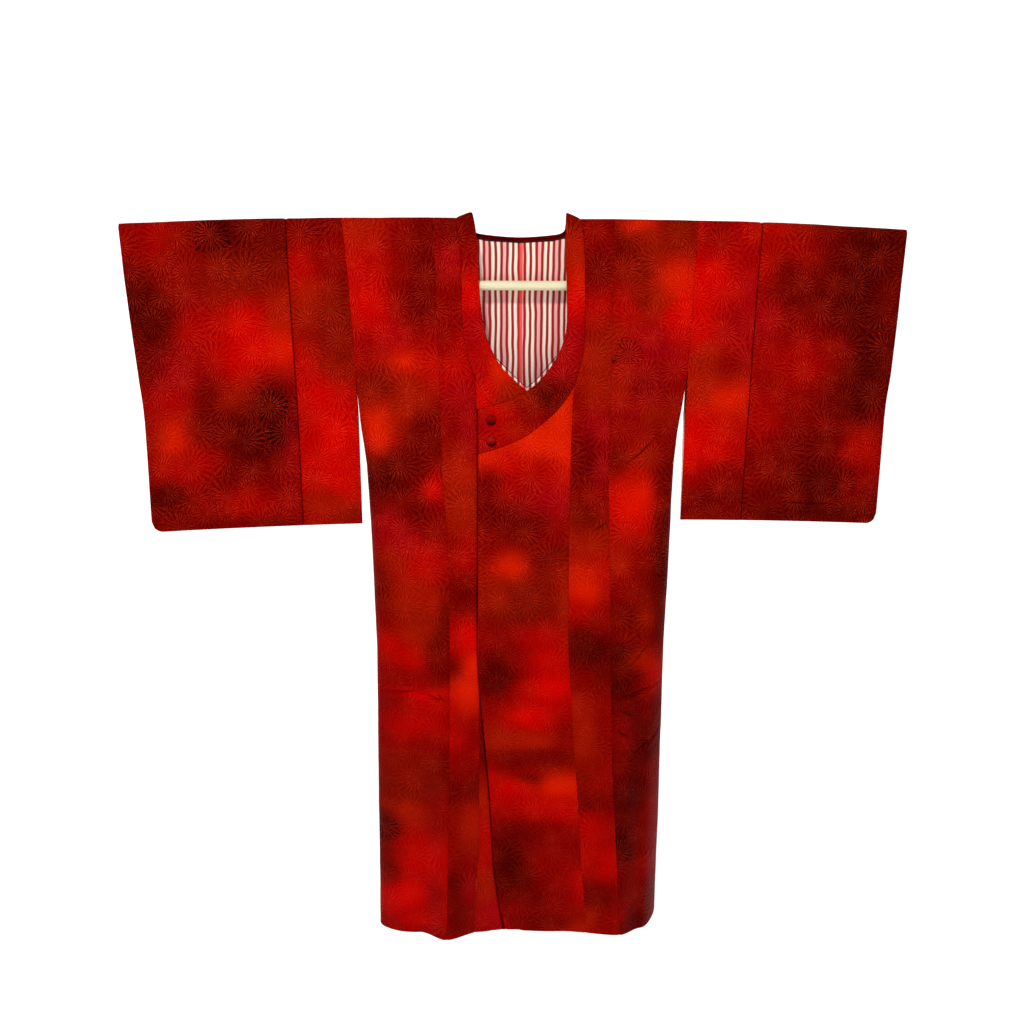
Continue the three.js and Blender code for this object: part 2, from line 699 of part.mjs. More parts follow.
/** The lip of front lining that stands above the low part of the neckline. */
function liningFront() {
  const lowFrom = 2 * (SEAM_ROW - 1);
  const cross = 2 * (SEAM_ROW + 2);
  const right = bandStations(FRONT_BANDS.right).slice(lowFrom, cross);
  const left = bandStations(FRONT_BANDS.left).slice(lowFrom, cross + 1).reverse();
  const neck = [
    ...right.map(({ neckX, neckDepth }) => ({ x: -neckX, depth: neckDepth })),
    ...left.map(({ neckX, neckDepth }) => ({ x: neckX, depth: neckDepth })),
  ];
  const at = (outwards, station) => {
    const index = Math.min(Math.max(Math.floor(station), 0), neck.length - 2);
    const share = station - index;
    const x = mix(neck[index].x, neck[index + 1].x, share);
    const depth = mix(neck[index].depth, neck[index + 1].depth, share);
    const away = new THREE.Vector2(x, depth - NECK_MIDDLE_DEPTH).normalize();
    away.multiplyScalar(outwards);
    const down = downAt(depth + away.y);
    return bodyPoint(SIDES[1], -1, x + away.x, down, -WALL - SEAM_GAP);
  };
  const rows = spread(0, neck.length - 1, neck.length - 1);
  return wallOf(at, [-LIP_SHOWN, LIP_HIDDEN], rows, LINING_WALL, forwards);
}

// ---- Buttons and hanger ----------------------------------------------------

/** A flat-backed domed button. */
function buttonShape() {
  const profile = [
    [0, 0],
    [0.9, 0],
    [1, 0.18],
    [0.97, 0.42],
    [0.8, 0.72],
    [0.45, 0.94],
    [0, 1],
  ];
  const points = profile.map(([r, h]) => new THREE.Vector2(r * BUTTON_RADIUS, h * BUTTON_HEIGHT));
  return new THREE.LatheGeometry(points, 20);
}

/** Path of the hanger's rod, from the end of the right arm to the end of the left. */
function rodPath() {
  const armHeight = heightAt(0, FOLD_RADIUS);
  const at = (x, z) => new THREE.Vector3(x, 0, z);
  const arm = (way) => {
    const xs = spread(UPRIGHT_X + ROD_BEND, ARM_REACH, 6);
    return xs.map((x) => at(way * x, heightAt(x, FOLD_RADIUS)));
  };
  const path = new THREE.CurvePath();
  const bend = (from, corner, to) => path.add(new THREE.QuadraticBezierCurve3(from, corner, to));
  const line = (from, to) => path.add(new THREE.LineCurve3(from, to));
  path.add(new THREE.CatmullRomCurve3(arm(-1).reverse()));
  for (const way of [-1, 1]) {
    const upper = at(way * UPRIGHT_X, armHeight - ROD_BEND);
    const lower = at(way * UPRIGHT_X, ROD_BEND);
    const foot = at(way * (UPRIGHT_X - ROD_BEND), 0);
    const top = arm(way)[0];
    const topCorner = at(way * UPRIGHT_X, armHeight);
    const footCorner = at(way * UPRIGHT_X, 0);
    if (way < 0) {
      bend(top, topCorner, upper);
      line(upper, lower);
      bend(lower, footCorner, foot);
      line(foot, at(UPRIGHT_X - ROD_BEND, 0));
    } else {
      bend(foot, footCorner, lower);
      line(lower, upper);
      bend(upper, topCorner, top);
    }
  }
  path.add(new THREE.CatmullRomCurve3(arm(1)));
  return path;
}

function hangerShape() {
  const angles = spread(0, 2 * Math.PI, ROD_SIDES).slice(0, ROD_SIDES);
  const ring = angles.map((angle) => {
    return new THREE.Vector2(ROD_RADIUS * Math.cos(angle), ROD_RADIUS * Math.sin(angle));
  });
  const settings = { steps: ROD_STEPS, extrudePath: rodPath(), bevelEnabled: false };
  return new THREE.ExtrudeGeometry(new THREE.Shape(ring), settings);
}

// ---- The coat on its hanger ------------------------------------------------

const SILK = new THREE.MeshStandardMaterial({ color: 0xa80f10, roughness: 0.55 });
const BAND_SILK = new THREE.MeshStandardMaterial({ color: 0x8e0d0f, roughness: 0.55 });
const LINING_SILK = new THREE.MeshStandardMaterial({ color: 0xe9c3b4, roughness: 0.6 });
const BUTTON_SILK = new THREE.MeshStandardMaterial({ color: 0x7a0b0d, roughness: 0.5 });
const CREAM = new THREE.MeshStandardMaterial({ color: 0xf1ead0, roughness: 0.4 });

const part = new THREE.Group();

function addPiece(name, geometry, material) {
  const piece = new THREE.Mesh(geometry, material);
  piece.name = name;
  part.add(piece);
  return piece;
}

for (const side of SIDES) {
  for (const length of LENGTHS) {
    addPiece(`front_${side.key}_middle_${length}`, frontMiddle(side, length), SILK);
    addPiece(`front_${side.key}_side_${length}`, frontSide(side, length), SILK);
    addPiece(`back_${side.key}_${length}`, backPanel(side, length), SILK);
  }
  addPiece(`overlap_${side.key}`, overlap(side), SILK);
  addPiece(`collar_${side.key}`, frontBand(side), BAND_SILK);
  for (const [word, face] of [['front', -1], ['back', 1]]) {
    addPiece(`sleeve_${side.key}_inner_${word}`, sleeveInner(side, face), SILK);
    addPiece(`sleeve_${side.key}_outer_${word}`, sleeveOuter(side, face), SILK);
  }
}
addPiece('collar_back', backBand(), BAND_SILK);
addPiece('lining_back', liningBack(), LINING_SILK);
addPiece('lining_front', liningFront(), LINING_SILK);
for (const { name, x, depth } of BUTTONS) {
  const seat = bodyPoint(SIDES[0], -1, x, downAt(depth), BAND_PROUD + BUTTON_SEAT);
  const button = addPiece(name, buttonShape(), BUTTON_SILK);
  button.position.copy(seat);
  button.rotation.x = Math.PI;
}
addPiece('hanger', hangerShape(), CREAM);

export default part;
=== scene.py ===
"""Looks of a full-length lined kimono coat that hangs on a plain rod hanger.

Sizes are in millimetres until a mesh is made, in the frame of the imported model: the
origin is the middle of the hanger's crossbar, +Z is up, the front faces -Y and the
wearer's left side is +X. Places on the cloth are given by x and by `depth`, the height
below the shoulder fold. `down` is the same place measured along the cloth from the top
of the fold, and it counts negative on the back.
"""

from __future__ import annotations

import logging
import math
from dataclasses import dataclass
from enum import Enum
from typing import Any, Iterator, Sequence

import bmesh
import bpy
import numpy as np
from mathutils import Euler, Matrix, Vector


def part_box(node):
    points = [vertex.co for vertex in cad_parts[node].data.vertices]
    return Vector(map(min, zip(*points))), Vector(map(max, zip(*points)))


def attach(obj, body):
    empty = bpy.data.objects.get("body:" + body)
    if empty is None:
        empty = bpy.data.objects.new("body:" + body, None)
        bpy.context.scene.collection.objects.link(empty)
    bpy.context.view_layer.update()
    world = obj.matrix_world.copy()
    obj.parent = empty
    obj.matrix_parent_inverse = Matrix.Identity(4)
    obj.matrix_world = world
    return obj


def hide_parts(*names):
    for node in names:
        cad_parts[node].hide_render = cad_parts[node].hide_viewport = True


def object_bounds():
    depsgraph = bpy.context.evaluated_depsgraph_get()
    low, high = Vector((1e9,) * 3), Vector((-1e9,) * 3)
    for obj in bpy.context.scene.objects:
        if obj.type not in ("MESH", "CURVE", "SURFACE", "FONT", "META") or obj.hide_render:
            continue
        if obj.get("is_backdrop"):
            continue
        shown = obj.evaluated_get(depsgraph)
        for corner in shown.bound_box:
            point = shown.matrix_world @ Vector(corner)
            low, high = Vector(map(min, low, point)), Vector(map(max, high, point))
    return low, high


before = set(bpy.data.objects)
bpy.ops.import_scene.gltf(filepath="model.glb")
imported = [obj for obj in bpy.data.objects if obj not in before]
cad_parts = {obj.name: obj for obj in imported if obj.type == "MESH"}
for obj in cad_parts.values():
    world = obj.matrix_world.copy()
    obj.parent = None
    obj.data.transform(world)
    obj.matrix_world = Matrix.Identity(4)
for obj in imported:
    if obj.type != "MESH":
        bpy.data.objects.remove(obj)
SOLID_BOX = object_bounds()

LOG = logging.getLogger("coat")
MM = 0.001
Array = np.ndarray
Socket = bpy.types.NodeSocket


class Dye(Enum):
    """Colours of the cloud dyeing, as sRGB hex values."""

    ORANGE = "DC1E00"
    SCARLET = "CE0000"
    RED = "AC0000"
    CRIMSON = "9A000A"
    RUST = "9C1400"
    BROWN = "740A00"
    DEEP = "7E0000"
    MAROON = "5C0000"
    NIGHT = "3A0000"


# Across, down, half width, half height and colour of a cloud of dye;
# a few stand for painted shade and a painted highlight.
Spot = tuple[float, float, float, float, Dye]


class Side(Enum):
    """Side of the wearer, as its direction along X."""

    LEFT = 1
    RIGHT = -1

    @property
    def key(self) -> str:
        """Name of the side in the nodes and tables."""
        return self.name.lower()


class Face(Enum):
    """Front or back of the coat, as its direction along Y."""

    FRONT = -1
    BACK = 1


# ---- Small tools -----------------------------------------------------------


def srgb(code: str) -> Array:
    """Turns an sRGB hex value into three numbers from 0 to 1.

    Args:
        code: Six hex digits.

    Returns:
        Red, green and blue, still in sRGB.
    """
    return np.array([int(code[i : i + 2], 16) / 255 for i in (0, 2, 4)])


def linear(colour: str | Array) -> Array:
    """Turns sRGB into linear colour.

    Args:
        colour: A hex value, or an array whose last axis holds sRGB.

    Returns:
        The same colour or colours, linear.
    """
    value = srgb(colour) if isinstance(colour, str) else np.asarray(colour)
    return np.where(value <= 0.04045, value / 12.92, ((value + 0.055) / 1.055) ** 2.4)


def rgba(code: str) -> tuple[float, float, float, float]:
    """Gives a hex colour as a node's linear colour with full alpha."""
    red, green, blue = linear(code)
    return (float(red), float(green), float(blue), 1.0)


def mix(low: Any, high: Any, share: Any) -> Any:
    """Blends from low to high by share."""
    return low + (high - low) * share


def smooth(share: Any) -> Any:
    """Eases a share at both its ends, 0 and 1."""
    return share * share * (3 - 2 * share)


def ramp(low: float, high: float, value: Any) -> Any:
    """Smooth step from 0 at low to 1 at high.

    Args:
        low: Value where the step starts.
        high: Value where it ends.
        value: Number or array to place on the step.

    Returns:
        The step's height there.
    """
    return smooth(np.clip((value - low) / (high - low), 0.0, 1.0))


def eased(table: Sequence[tuple[float, float]], place: Any) -> Any:
    """Reads a table with a smooth step between each two rows.

    Args:
        table: Pairs of place and value, in rising order of place.
        place: Number or array to read at.

    Returns:
        The values there.
    """
    keys = np.array([row[0] for row in table], float)
    values = np.array([row[1] for row in table], float)
    low = np.clip(np.searchsorted(keys, place, side="right") - 1, 0, len(keys) - 2)
    share = np.clip((place - keys[low]) / (keys[low + 1] - keys[low]), 0.0, 1.0)
    return mix(values[low], values[low + 1], smooth(share))


def column(rows: Sequence[tuple[float, ...]], index: int, place: Any) -> Any:
    """Reads one column of a table whose first column is the place.

    Args:
        rows: Table rows in rising order.
        index: Column to read.
        place: Number or array to read at.

    Returns:
        The straight blend of the rows beside each place.
    """
    keys = [row[0] for row in rows]
    return np.interp(place, keys, [row[index] for row in rows])


def spline(values: Sequence[float], place: Array) -> Array:
    """Runs a smooth curve through evenly counted values.

    Args:
        values: The values at 0, 1, 2 and so on.
        place: Where to read the curve, in counts.

    Returns:
        The curve's values there.
    """
    held = np.array([values[0], *values, values[-1]], float)
    low = np.clip(np.floor(place).astype(int), 0, len(values) - 2)
    t = place - low
    a, b, c, d = held[low], held[low + 1], held[low + 2], held[low + 3]
    slope = (c - a) / 2
    bend = a - 2.5 * b + 2 * c - d / 2
    turn = (d - a) / 2 + 1.5 * (b - c)
    return b + slope * t + bend * t**2 + turn * t**3


def wander(x: Array, y: Array, size: float, seed: float) -> Array:
    """Gives an even, repeatable noise from crossing waves.

    Args:
        x: First coordinate in millimetres.
        y: Second coordinate in millimetres.
        size: Rough width of one swell, in millimetres.
        seed: Number that shifts the waves.

    Returns:
        Values from about -1 to 1.
    """
    total = np.zeros_like(np.asarray(x, float) + np.asarray(y, float))
    for turn in range(5):
        angle = seed * 1.7 + turn * 1.256 + 0.3 * math.sin(seed + turn)
        step = 2.2 * math.pi / (size * (1.5 + 0.37 * turn))
        along = (x * math.cos(angle) + y * math.sin(angle)) * step
        across = (y * math.cos(angle) - x * math.sin(angle)) * step * 0.61
        total = total + np.sin(along + seed * (2.1 + turn) + 1.4 * np.sin(across + turn))
    return total / 3.2


# ---- Tables ----------------------------------------------------------------

# Depth, then the sleeve's inner edge, lengthwise seam and outer edge.
SLEEVE_EDGES = {
    "left": (
        (0, 279, 384, 624), (80, 276, 380.5, 619.5), (145, 273.5, 378, 617),
        (235, 270, 375.5, 612), (310, 267.5, 373.5, 609), (489, 266, 370, 605.5),
    ),
    "right": (
        (0, 288, 374, 629), (80, 281, 372.5, 625), (145, 277, 371, 620.5),
        (235, 272.5, 368, 613.5), (310, 270, 366, 610), (489, 268, 365, 609.5),
    ),
}

# Depth, then how far the body reaches sideways and how far its side seam lies behind.
BODY_SIDES = {
    "left": (
        (235, 270, 0), (320, 258, 0), (390, 252, 0), (560, 247, 0), (700, 244.5, 4),
        (885, 245, 14), (1036, 247, 28), (1223, 249, 49),
    ),
    "right": (
        (235, 272.5, 0), (320, 267, 0), (390, 258.5, 0), (560, 252, 0), (700, 249.5, 1),
        (885, 252, 5), (1036, 254, 10), (1223, 257, 17),
    ),
}

# Depth, then x of the lengthwise seam in each front.
INSET_SEAMS = {
    "left": (
        (0, 144), (240, 140), (430, 138), (590, 143), (724, 145), (924, 150),
        (1094, 160), (1223, 166),
    ),
    "right": (
        (0, 145), (240, 138), (430, 134), (500, 128), (616, 125), (790, 127),
        (950, 130), (1223, 137),
    ),
}

# Depth, then x of each overlap's seam and of its free edge, towards its own side.
OVERLAPS = {
    "left": (
        (262, 80, -76), (300, 77, -76), (367, 75, -76), (503, 73, -77), (700, 73.5, -79),
        (787, 79, -75), (876, 84, -67), (959, 91, -60), (1111, 100, -52),
        (1186, 107, -42), (1223, 109, -36),
    ),
    "right": (
        (252, 79, -73), (366, 77, -73), (700, 77, -72), (914, 78, -66), (1075, 80, -58),
        (1159, 86, -50), (1223, 87, -42),
    ),
}

# Neck edge's x and depth, then the sewn edge's x and depth, from the shoulder on.
FRONT_BANDS = {
    "left": (
        (67, 0, 88, 0), (65, 34, 95, 34), (67, 100, 97, 100), (67, 165, 97, 160),
        (61, 195, 94, 212), (46, 226, 80, 262), (26, 252, 58, 296), (3, 271, 32, 321),
        (-24, 285, 0, 345), (-50, 294, -36, 361), (-76, 302, -76, 373),
    ),
    "right": (
        (84, 0, 108, 0), (76, 34, 104, 34), (73, 100, 101, 100), (67, 160, 100, 160),
        (57, 197, 93, 212), (39, 231, 79, 252), (19, 252, 60, 286), (-3, 271, 34, 312),
        (-27, 284, 2, 338), (-50, 293, -34, 356), (-73, 301, -73, 369),
    ),
}
# Row from which a front band is sewn to its overlap.
SEAM_ROW = 5
BACK_BAND = (
    (67, 0, 88, 0), (67, 14, 92, 22), (63, 24, 84, 46), (45, 28, 52, 57),
    (-8, 31, -8, 61), (-61, 28, -68, 57), (-79, 24, -100, 46), (-83, 14, -108, 22),
    (-84, 0, -108, 0),
)

# x, then how far the cloth stands out at the hem.
FRONT_HEM = (
    (-257, 12), (-185, 23), (-137, 50), (-79, 30), (-43, 25), (63, 34), (167, 55),
    (208, 36), (249, 18),
)
BACK_HEM = ((-257, 26), (-120, 34), (0, 38), (130, 48), (249, 62))

# Clouds of the dye on each panel, in the units of the Sight's picture. A few narrow
# clouds, marked below, are painted shade and a painted highlight instead of dye.
DYE_AND_SHADING_CLOUDS: dict[str, tuple[Spot, ...]] = {
    "sleeve_right_outer": (
        (155, 245, 20, 24, Dye.RED), (125, 235, 14, 16, Dye.DEEP), (230, 235, 44, 20, Dye.NIGHT),
        (275, 240, 22, 24, Dye.MAROON), (188, 250, 18, 20, Dye.DEEP), (235, 280, 44, 28, Dye.BROWN),
        (165, 278, 18, 16, Dye.DEEP), (136, 300, 18, 28, Dye.NIGHT), (155, 332, 22, 34, Dye.NIGHT),
        (150, 372, 16, 14, Dye.MAROON), (200, 335, 22, 20, Dye.RED), (245, 325, 20, 18, Dye.SCARLET),
        (250, 360, 34, 26, Dye.SCARLET), (284, 352, 12, 18, Dye.ORANGE), (285, 312, 14, 20, Dye.RUST),
        (175, 378, 18, 22, Dye.CRIMSON), (240, 402, 13, 16, Dye.RUST), (206, 396, 14, 16, Dye.MAROON),
        (165, 405, 16, 14, Dye.RED), (176, 441, 14, 18, Dye.ORANGE), (206, 466, 16, 15, Dye.RED),
        (270, 405, 20, 20, Dye.NIGHT), (255, 436, 38, 28, Dye.NIGHT), (205, 426, 15, 14, Dye.MAROON),
        (292, 440, 8, 36, Dye.CRIMSON), (235, 476, 24, 16, Dye.MAROON), (280, 480, 16, 18, Dye.DEEP),
        (180, 480, 18, 12, Dye.RED), (165, 502, 20, 13, Dye.NIGHT), (250, 508, 24, 12, Dye.RED),
        (215, 506, 14, 10, Dye.DEEP), (200, 526, 34, 8, Dye.MAROON), (268, 528, 24, 7, Dye.MAROON),
    ),
    "sleeve_right_inner": (
        (320, 230, 28, 13, Dye.MAROON), (338, 246, 12, 14, Dye.DEEP), (300, 270, 13, 18, Dye.RED),
        (330, 265, 15, 16, Dye.DEEP), (304, 302, 12, 18, Dye.RUST), (335, 325, 19, 34, Dye.BROWN),
        (336, 366, 17, 18, Dye.BROWN), (304, 370, 13, 18, Dye.RED), (320, 400, 18, 14, Dye.SCARLET),
        (337, 442, 22, 40, Dye.SCARLET), (308, 440, 10, 22, Dye.RED), (300, 482, 10, 16, Dye.RED),
        (342, 486, 12, 14, Dye.SCARLET), (322, 506, 22, 10, Dye.RUST), (345, 516, 12, 8, Dye.BROWN),
        (300, 516, 12, 10, Dye.DEEP),
    ),
    "front_right_side": (
        (365, 235, 20, 20, Dye.RUST), (395, 245, 16, 18, Dye.DEEP), (425, 238, 20, 24, Dye.MAROON),
        (366, 300, 18, 40, Dye.SCARLET), (376, 268, 12, 14, Dye.RED), (398, 282, 14, 18, Dye.DEEP),
        (420, 300, 18, 28, Dye.MAROON), (392, 340, 16, 16, Dye.CRIMSON), (366, 348, 12, 14, Dye.DEEP),
        (405, 366, 14, 12, Dye.ORANGE), (430, 360, 12, 20, Dye.RED), (376, 391, 16, 13, Dye.BROWN),
        (416, 395, 16, 14, Dye.RUST), (378, 436, 13, 19, Dye.ORANGE), (402, 415, 14, 14, Dye.RUST),
        (425, 436, 17, 22, Dye.MAROON), (382, 480, 22, 18, Dye.NIGHT), (415, 474, 18, 14, Dye.MAROON),
        (434, 490, 10, 12, Dye.SCARLET), (376, 512, 12, 14, Dye.MAROON), (420, 514, 11, 11, Dye.MAROON),
        (387, 528, 12, 12, Dye.CRIMSON), (400, 546, 18, 12, Dye.CRIMSON), (430, 532, 12, 12, Dye.DEEP),
        (394, 566, 16, 11, Dye.RUST), (424, 570, 20, 16, Dye.RED), (380, 590, 11, 20, Dye.MAROON),
        (406, 600, 17, 14, Dye.RUST), (431, 601, 12, 14, Dye.RUST), (443, 612, 7, 22, Dye.MAROON),
        (384, 625, 11, 12, Dye.DEEP), (418, 634, 18, 14, Dye.RUST), (440, 650, 9, 16, Dye.MAROON),
        (390, 652, 14, 11, Dye.RED), (412, 662, 14, 11, Dye.RED), (386, 690, 13, 10, Dye.DEEP),
        # The thin scarlet cloud at down 697 is a painted highlight along the crease there.
        (438, 672, 10, 12, Dye.MAROON), (411, 681, 20, 8, Dye.DEEP), (420, 697, 26, 4, Dye.SCARLET),
        (390, 711, 14, 9, Dye.DEEP), (431, 707, 16, 8, Dye.RED), (415, 731, 28, 13, Dye.RED),
        (384, 745, 10, 11, Dye.DEEP), (430, 750, 16, 10, Dye.DEEP), (395, 769, 15, 11, Dye.BROWN),
        (420, 776, 18, 11, Dye.BROWN), (445, 765, 9, 14, Dye.MAROON), (385, 795, 11, 12, Dye.BROWN),
        (420, 795, 18, 9, Dye.BROWN), (410, 818, 17, 13, Dye.RUST), (440, 814, 10, 16, Dye.DEEP),
        (385, 840, 12, 17, Dye.NIGHT), (415, 848, 17, 12, Dye.RED), (430, 870, 16, 20, Dye.RED),
        (387, 880, 11, 13, Dye.MAROON), (408, 872, 13, 13, Dye.RED), (410, 900, 22, 11, Dye.SCARLET),
        (390, 913, 11, 8, Dye.RED), (436, 900, 11, 14, Dye.DEEP), (425, 924, 14, 8, Dye.RED),
        (442, 932, 12, 8, Dye.DEEP),
    ),
    "front_right_middle": (
        (452, 232, 15, 18, Dye.MAROON), (456, 262, 13, 16, Dye.CRIMSON), (450, 292, 14, 16, Dye.DEEP),
        (448, 330, 13, 20, Dye.DEEP), (462, 350, 10, 16, Dye.RED), (455, 372, 13, 15, Dye.RED),
        (463, 402, 14, 14, Dye.CRIMSON), (452, 430, 9, 16, Dye.DEEP), (470, 438, 10, 16, Dye.CRIMSON),
        (460, 480, 15, 26, Dye.RUST), (460, 520, 16, 20, Dye.RUST), (466, 560, 14, 15, Dye.RED),
        (451, 547, 8, 12, Dye.DEEP), (460, 600, 16, 17, Dye.MAROON), (470, 640, 11, 20, Dye.SCARLET),
        (453, 642, 8, 14, Dye.RED), (451, 668, 8, 13, Dye.MAROON), (470, 669, 9, 11, Dye.ORANGE),
        (468, 696, 13, 19, Dye.ORANGE), (455, 712, 9, 12, Dye.RED), (476, 742, 10, 14, Dye.DEEP),
        (458, 740, 11, 12, Dye.RED), (464, 768, 15, 12, Dye.DEEP), (454, 791, 11, 14, Dye.MAROON),
        (476, 792, 10, 14, Dye.MAROON), (470, 830, 12, 22, Dye.RUST), (453, 836, 9, 16, Dye.DEEP),
        (470, 866, 12, 12, Dye.DEEP), (454, 886, 9, 16, Dye.MAROON), (475, 890, 10, 12, Dye.CRIMSON),
        (488, 862, 9, 16, Dye.DEEP), (481, 918, 13, 10, Dye.DEEP), (460, 915, 11, 12, Dye.MAROON),
        (493, 905, 10, 14, Dye.DEEP),
    ),
    "overlap_left": (
        (489, 455, 16, 10, Dye.ORANGE), (541, 444, 30, 16, Dye.ORANGE), (562, 412, 10, 18, Dye.ORANGE),
        (566, 456, 10, 18, Dye.ORANGE), (510, 467, 16, 10, Dye.SCARLET), (545, 475, 22, 10, Dye.RED),
        (489, 490, 11, 12, Dye.MAROON), (512, 494, 16, 11, Dye.RED), (540, 500, 20, 14, Dye.CRIMSON),
        (561, 510, 10, 18, Dye.CRIMSON), (500, 520, 20, 17, Dye.MAROON), (530, 530, 20, 13, Dye.MAROON),
        (556, 536, 14, 10, Dye.DEEP), (489, 551, 10, 12, Dye.DEEP), (510, 570, 15, 13, Dye.ORANGE),
        (497, 600, 10, 12, Dye.RUST), (549, 561, 18, 12, Dye.MAROON), (546, 590, 18, 15, Dye.BROWN),
        (524, 606, 26, 15, Dye.BROWN), (509, 622, 16, 12, Dye.BROWN), (566, 600, 6, 38, Dye.RUST),
        (536, 641, 24, 11, Dye.RED), (499, 641, 16, 11, Dye.DEEP), (546, 666, 22, 11, Dye.RED),
        (500, 680, 18, 19, Dye.NIGHT), (516, 661, 12, 11, Dye.DEEP), (550, 690, 26, 13, Dye.SCARLET),
        (524, 697, 12, 12, Dye.RED), (495, 711, 12, 11, Dye.DEEP), (530, 720, 24, 10, Dye.SCARLET),
        (495, 741, 12, 12, Dye.RUST), (561, 735, 12, 14, Dye.DEEP), (525, 745, 24, 8, Dye.RUST),
        (530, 762, 40, 8, Dye.MAROON), (500, 766, 10, 8, Dye.DEEP), (491, 786, 8, 12, Dye.RED),
        (531, 782, 11, 6, Dye.MAROON), (512, 797, 20, 13, Dye.SCARLET), (560, 788, 17, 11, Dye.ORANGE),
        (532, 811, 26, 10, Dye.RED), (562, 815, 14, 12, Dye.RED), (515, 836, 26, 12, Dye.MAROON),
        (556, 836, 16, 10, Dye.DEEP), (511, 871, 17, 24, Dye.NIGHT), (541, 871, 16, 16, Dye.DEEP),
        (571, 856, 12, 16, Dye.DEEP), (531, 905, 16, 11, Dye.MAROON), (519, 914, 12, 8, Dye.DEEP),
        (560, 901, 15, 12, Dye.DEEP), (579, 890, 9, 18, Dye.RED), (550, 923, 20, 6, Dye.MAROON),
        (576, 925, 12, 7, Dye.RUST),
    ),
    "front_left_middle": (
        (600, 235, 15, 18, Dye.DEEP), (601, 270, 14, 20, Dye.MAROON), (600, 311, 13, 17, Dye.RED),
        (604, 350, 12, 18, Dye.RUST), (590, 362, 10, 14, Dye.RUST), (600, 396, 13, 14, Dye.RUST),
        (586, 410, 10, 14, Dye.DEEP), (595, 431, 13, 14, Dye.CRIMSON), (590, 470, 14, 22, Dye.MAROON),
        (603, 470, 9, 20, Dye.CRIMSON), (600, 502, 12, 13, Dye.DEEP), (584, 521, 12, 13, Dye.BROWN),
        (595, 546, 14, 13, Dye.RUST), (586, 590, 14, 18, Dye.ORANGE), (602, 571, 10, 13, Dye.RED),
        (580, 612, 11, 11, Dye.RED), (601, 620, 11, 14, Dye.DEEP), (590, 650, 17, 18, Dye.NIGHT),
        (600, 677, 13, 14, Dye.MAROON), (582, 682, 10, 13, Dye.DEEP), (580, 714, 11, 14, Dye.RUST),
        (601, 706, 11, 14, Dye.DEEP), (584, 748, 12, 17, Dye.RUST), (602, 741, 9, 14, Dye.DEEP),
        (597, 781, 13, 13, Dye.DEEP), (583, 776, 8, 12, Dye.BROWN), (590, 801, 14, 10, Dye.MAROON),
        (590, 830, 13, 15, Dye.RED), (582, 860, 10, 13, Dye.RED), (602, 860, 11, 14, Dye.RED),
        (597, 895, 14, 14, Dye.MAROON), (603, 920, 11, 8, Dye.DEEP), (589, 916, 9, 9, Dye.RUST),
    ),
    "front_left_side": (
        (638, 225, 14, 10, Dye.ORANGE), (682, 235, 13, 15, Dye.BROWN), (621, 250, 16, 20, Dye.MAROON),
        (655, 250, 14, 13, Dye.RUST), (640, 276, 15, 14, Dye.BROWN), (676, 285, 15, 14, Dye.ORANGE),
        (656, 303, 12, 13, Dye.RUST), (686, 312, 8, 22, Dye.SCARLET), (625, 312, 12, 16, Dye.RED),
        (640, 302, 10, 10, Dye.BROWN), (636, 355, 14, 14, Dye.CRIMSON), (666, 352, 17, 15, Dye.CRIMSON),
        (621, 345, 9, 20, Dye.RUST), (675, 326, 12, 14, Dye.SCARLET), (641, 400, 17, 20, Dye.CRIMSON),
        (641, 392, 12, 12, Dye.MAROON), (620, 390, 10, 14, Dye.RUST), (666, 386, 14, 12, Dye.DEEP),
        (656, 420, 14, 11, Dye.RUST), (622, 430, 12, 14, Dye.DEEP), (665, 440, 10, 12, Dye.DEEP),
        (617, 462, 11, 14, Dye.MAROON), (640, 461, 14, 11, Dye.RUST), (633, 510, 20, 28, Dye.SCARLET),
        # The narrow dark clouds near across 655 to 664, here and below, are painted shade where the
        # body rounds away at its side.
        (637, 502, 14, 16, Dye.ORANGE), (664, 480, 9, 16, Dye.MAROON), (664, 560, 9, 56, Dye.NIGHT),
        (655, 602, 11, 22, Dye.MAROON), (621, 560, 11, 14, Dye.RUST), (641, 561, 11, 14, Dye.DEEP),
        (626, 590, 15, 11, Dye.DEEP), (622, 620, 14, 14, Dye.MAROON), (645, 620, 12, 12, Dye.RUST),
        (631, 641, 14, 9, Dye.DEEP), (618, 658, 12, 14, Dye.NIGHT), (641, 665, 15, 8, Dye.RUST),
        (622, 690, 15, 13, Dye.NIGHT), (645, 691, 12, 9, Dye.DEEP), (656, 676, 7, 11, Dye.RED),
        (635, 711, 14, 9, Dye.MAROON), (655, 720, 9, 14, Dye.MAROON), (645, 746, 15, 22, Dye.NIGHT),
        (621, 740, 12, 14, Dye.DEEP), (624, 770, 13, 12, Dye.MAROON), (630, 791, 15, 17, Dye.NIGHT),
        (655, 800, 8, 26, Dye.DEEP), (617, 841, 13, 17, Dye.NIGHT), (640, 841, 13, 16, Dye.MAROON),
        (655, 851, 8, 14, Dye.DEEP), (636, 876, 13, 12, Dye.DEEP), (617, 880, 10, 14, Dye.MAROON),
        (646, 896, 9, 15, Dye.MAROON), (630, 920, 12, 11, Dye.NIGHT), (614, 915, 10, 10, Dye.DEEP),
    ),
    "sleeve_left_inner": (
        (715, 240, 20, 17, Dye.DEEP), (699, 224, 12, 9, Dye.RED), (746, 240, 14, 17, Dye.RED),
        (713, 290, 28, 32, Dye.SCARLET), (746, 300, 13, 26, Dye.CRIMSON),
        (700, 332, 14, 16, Dye.SCARLET), (736, 336, 18, 14, Dye.CRIMSON), (704, 366, 17, 22, Dye.RUST),
        (729, 371, 12, 12, Dye.DEEP), (704, 396, 13, 11, Dye.RUST), (726, 404, 16, 17, Dye.ORANGE),
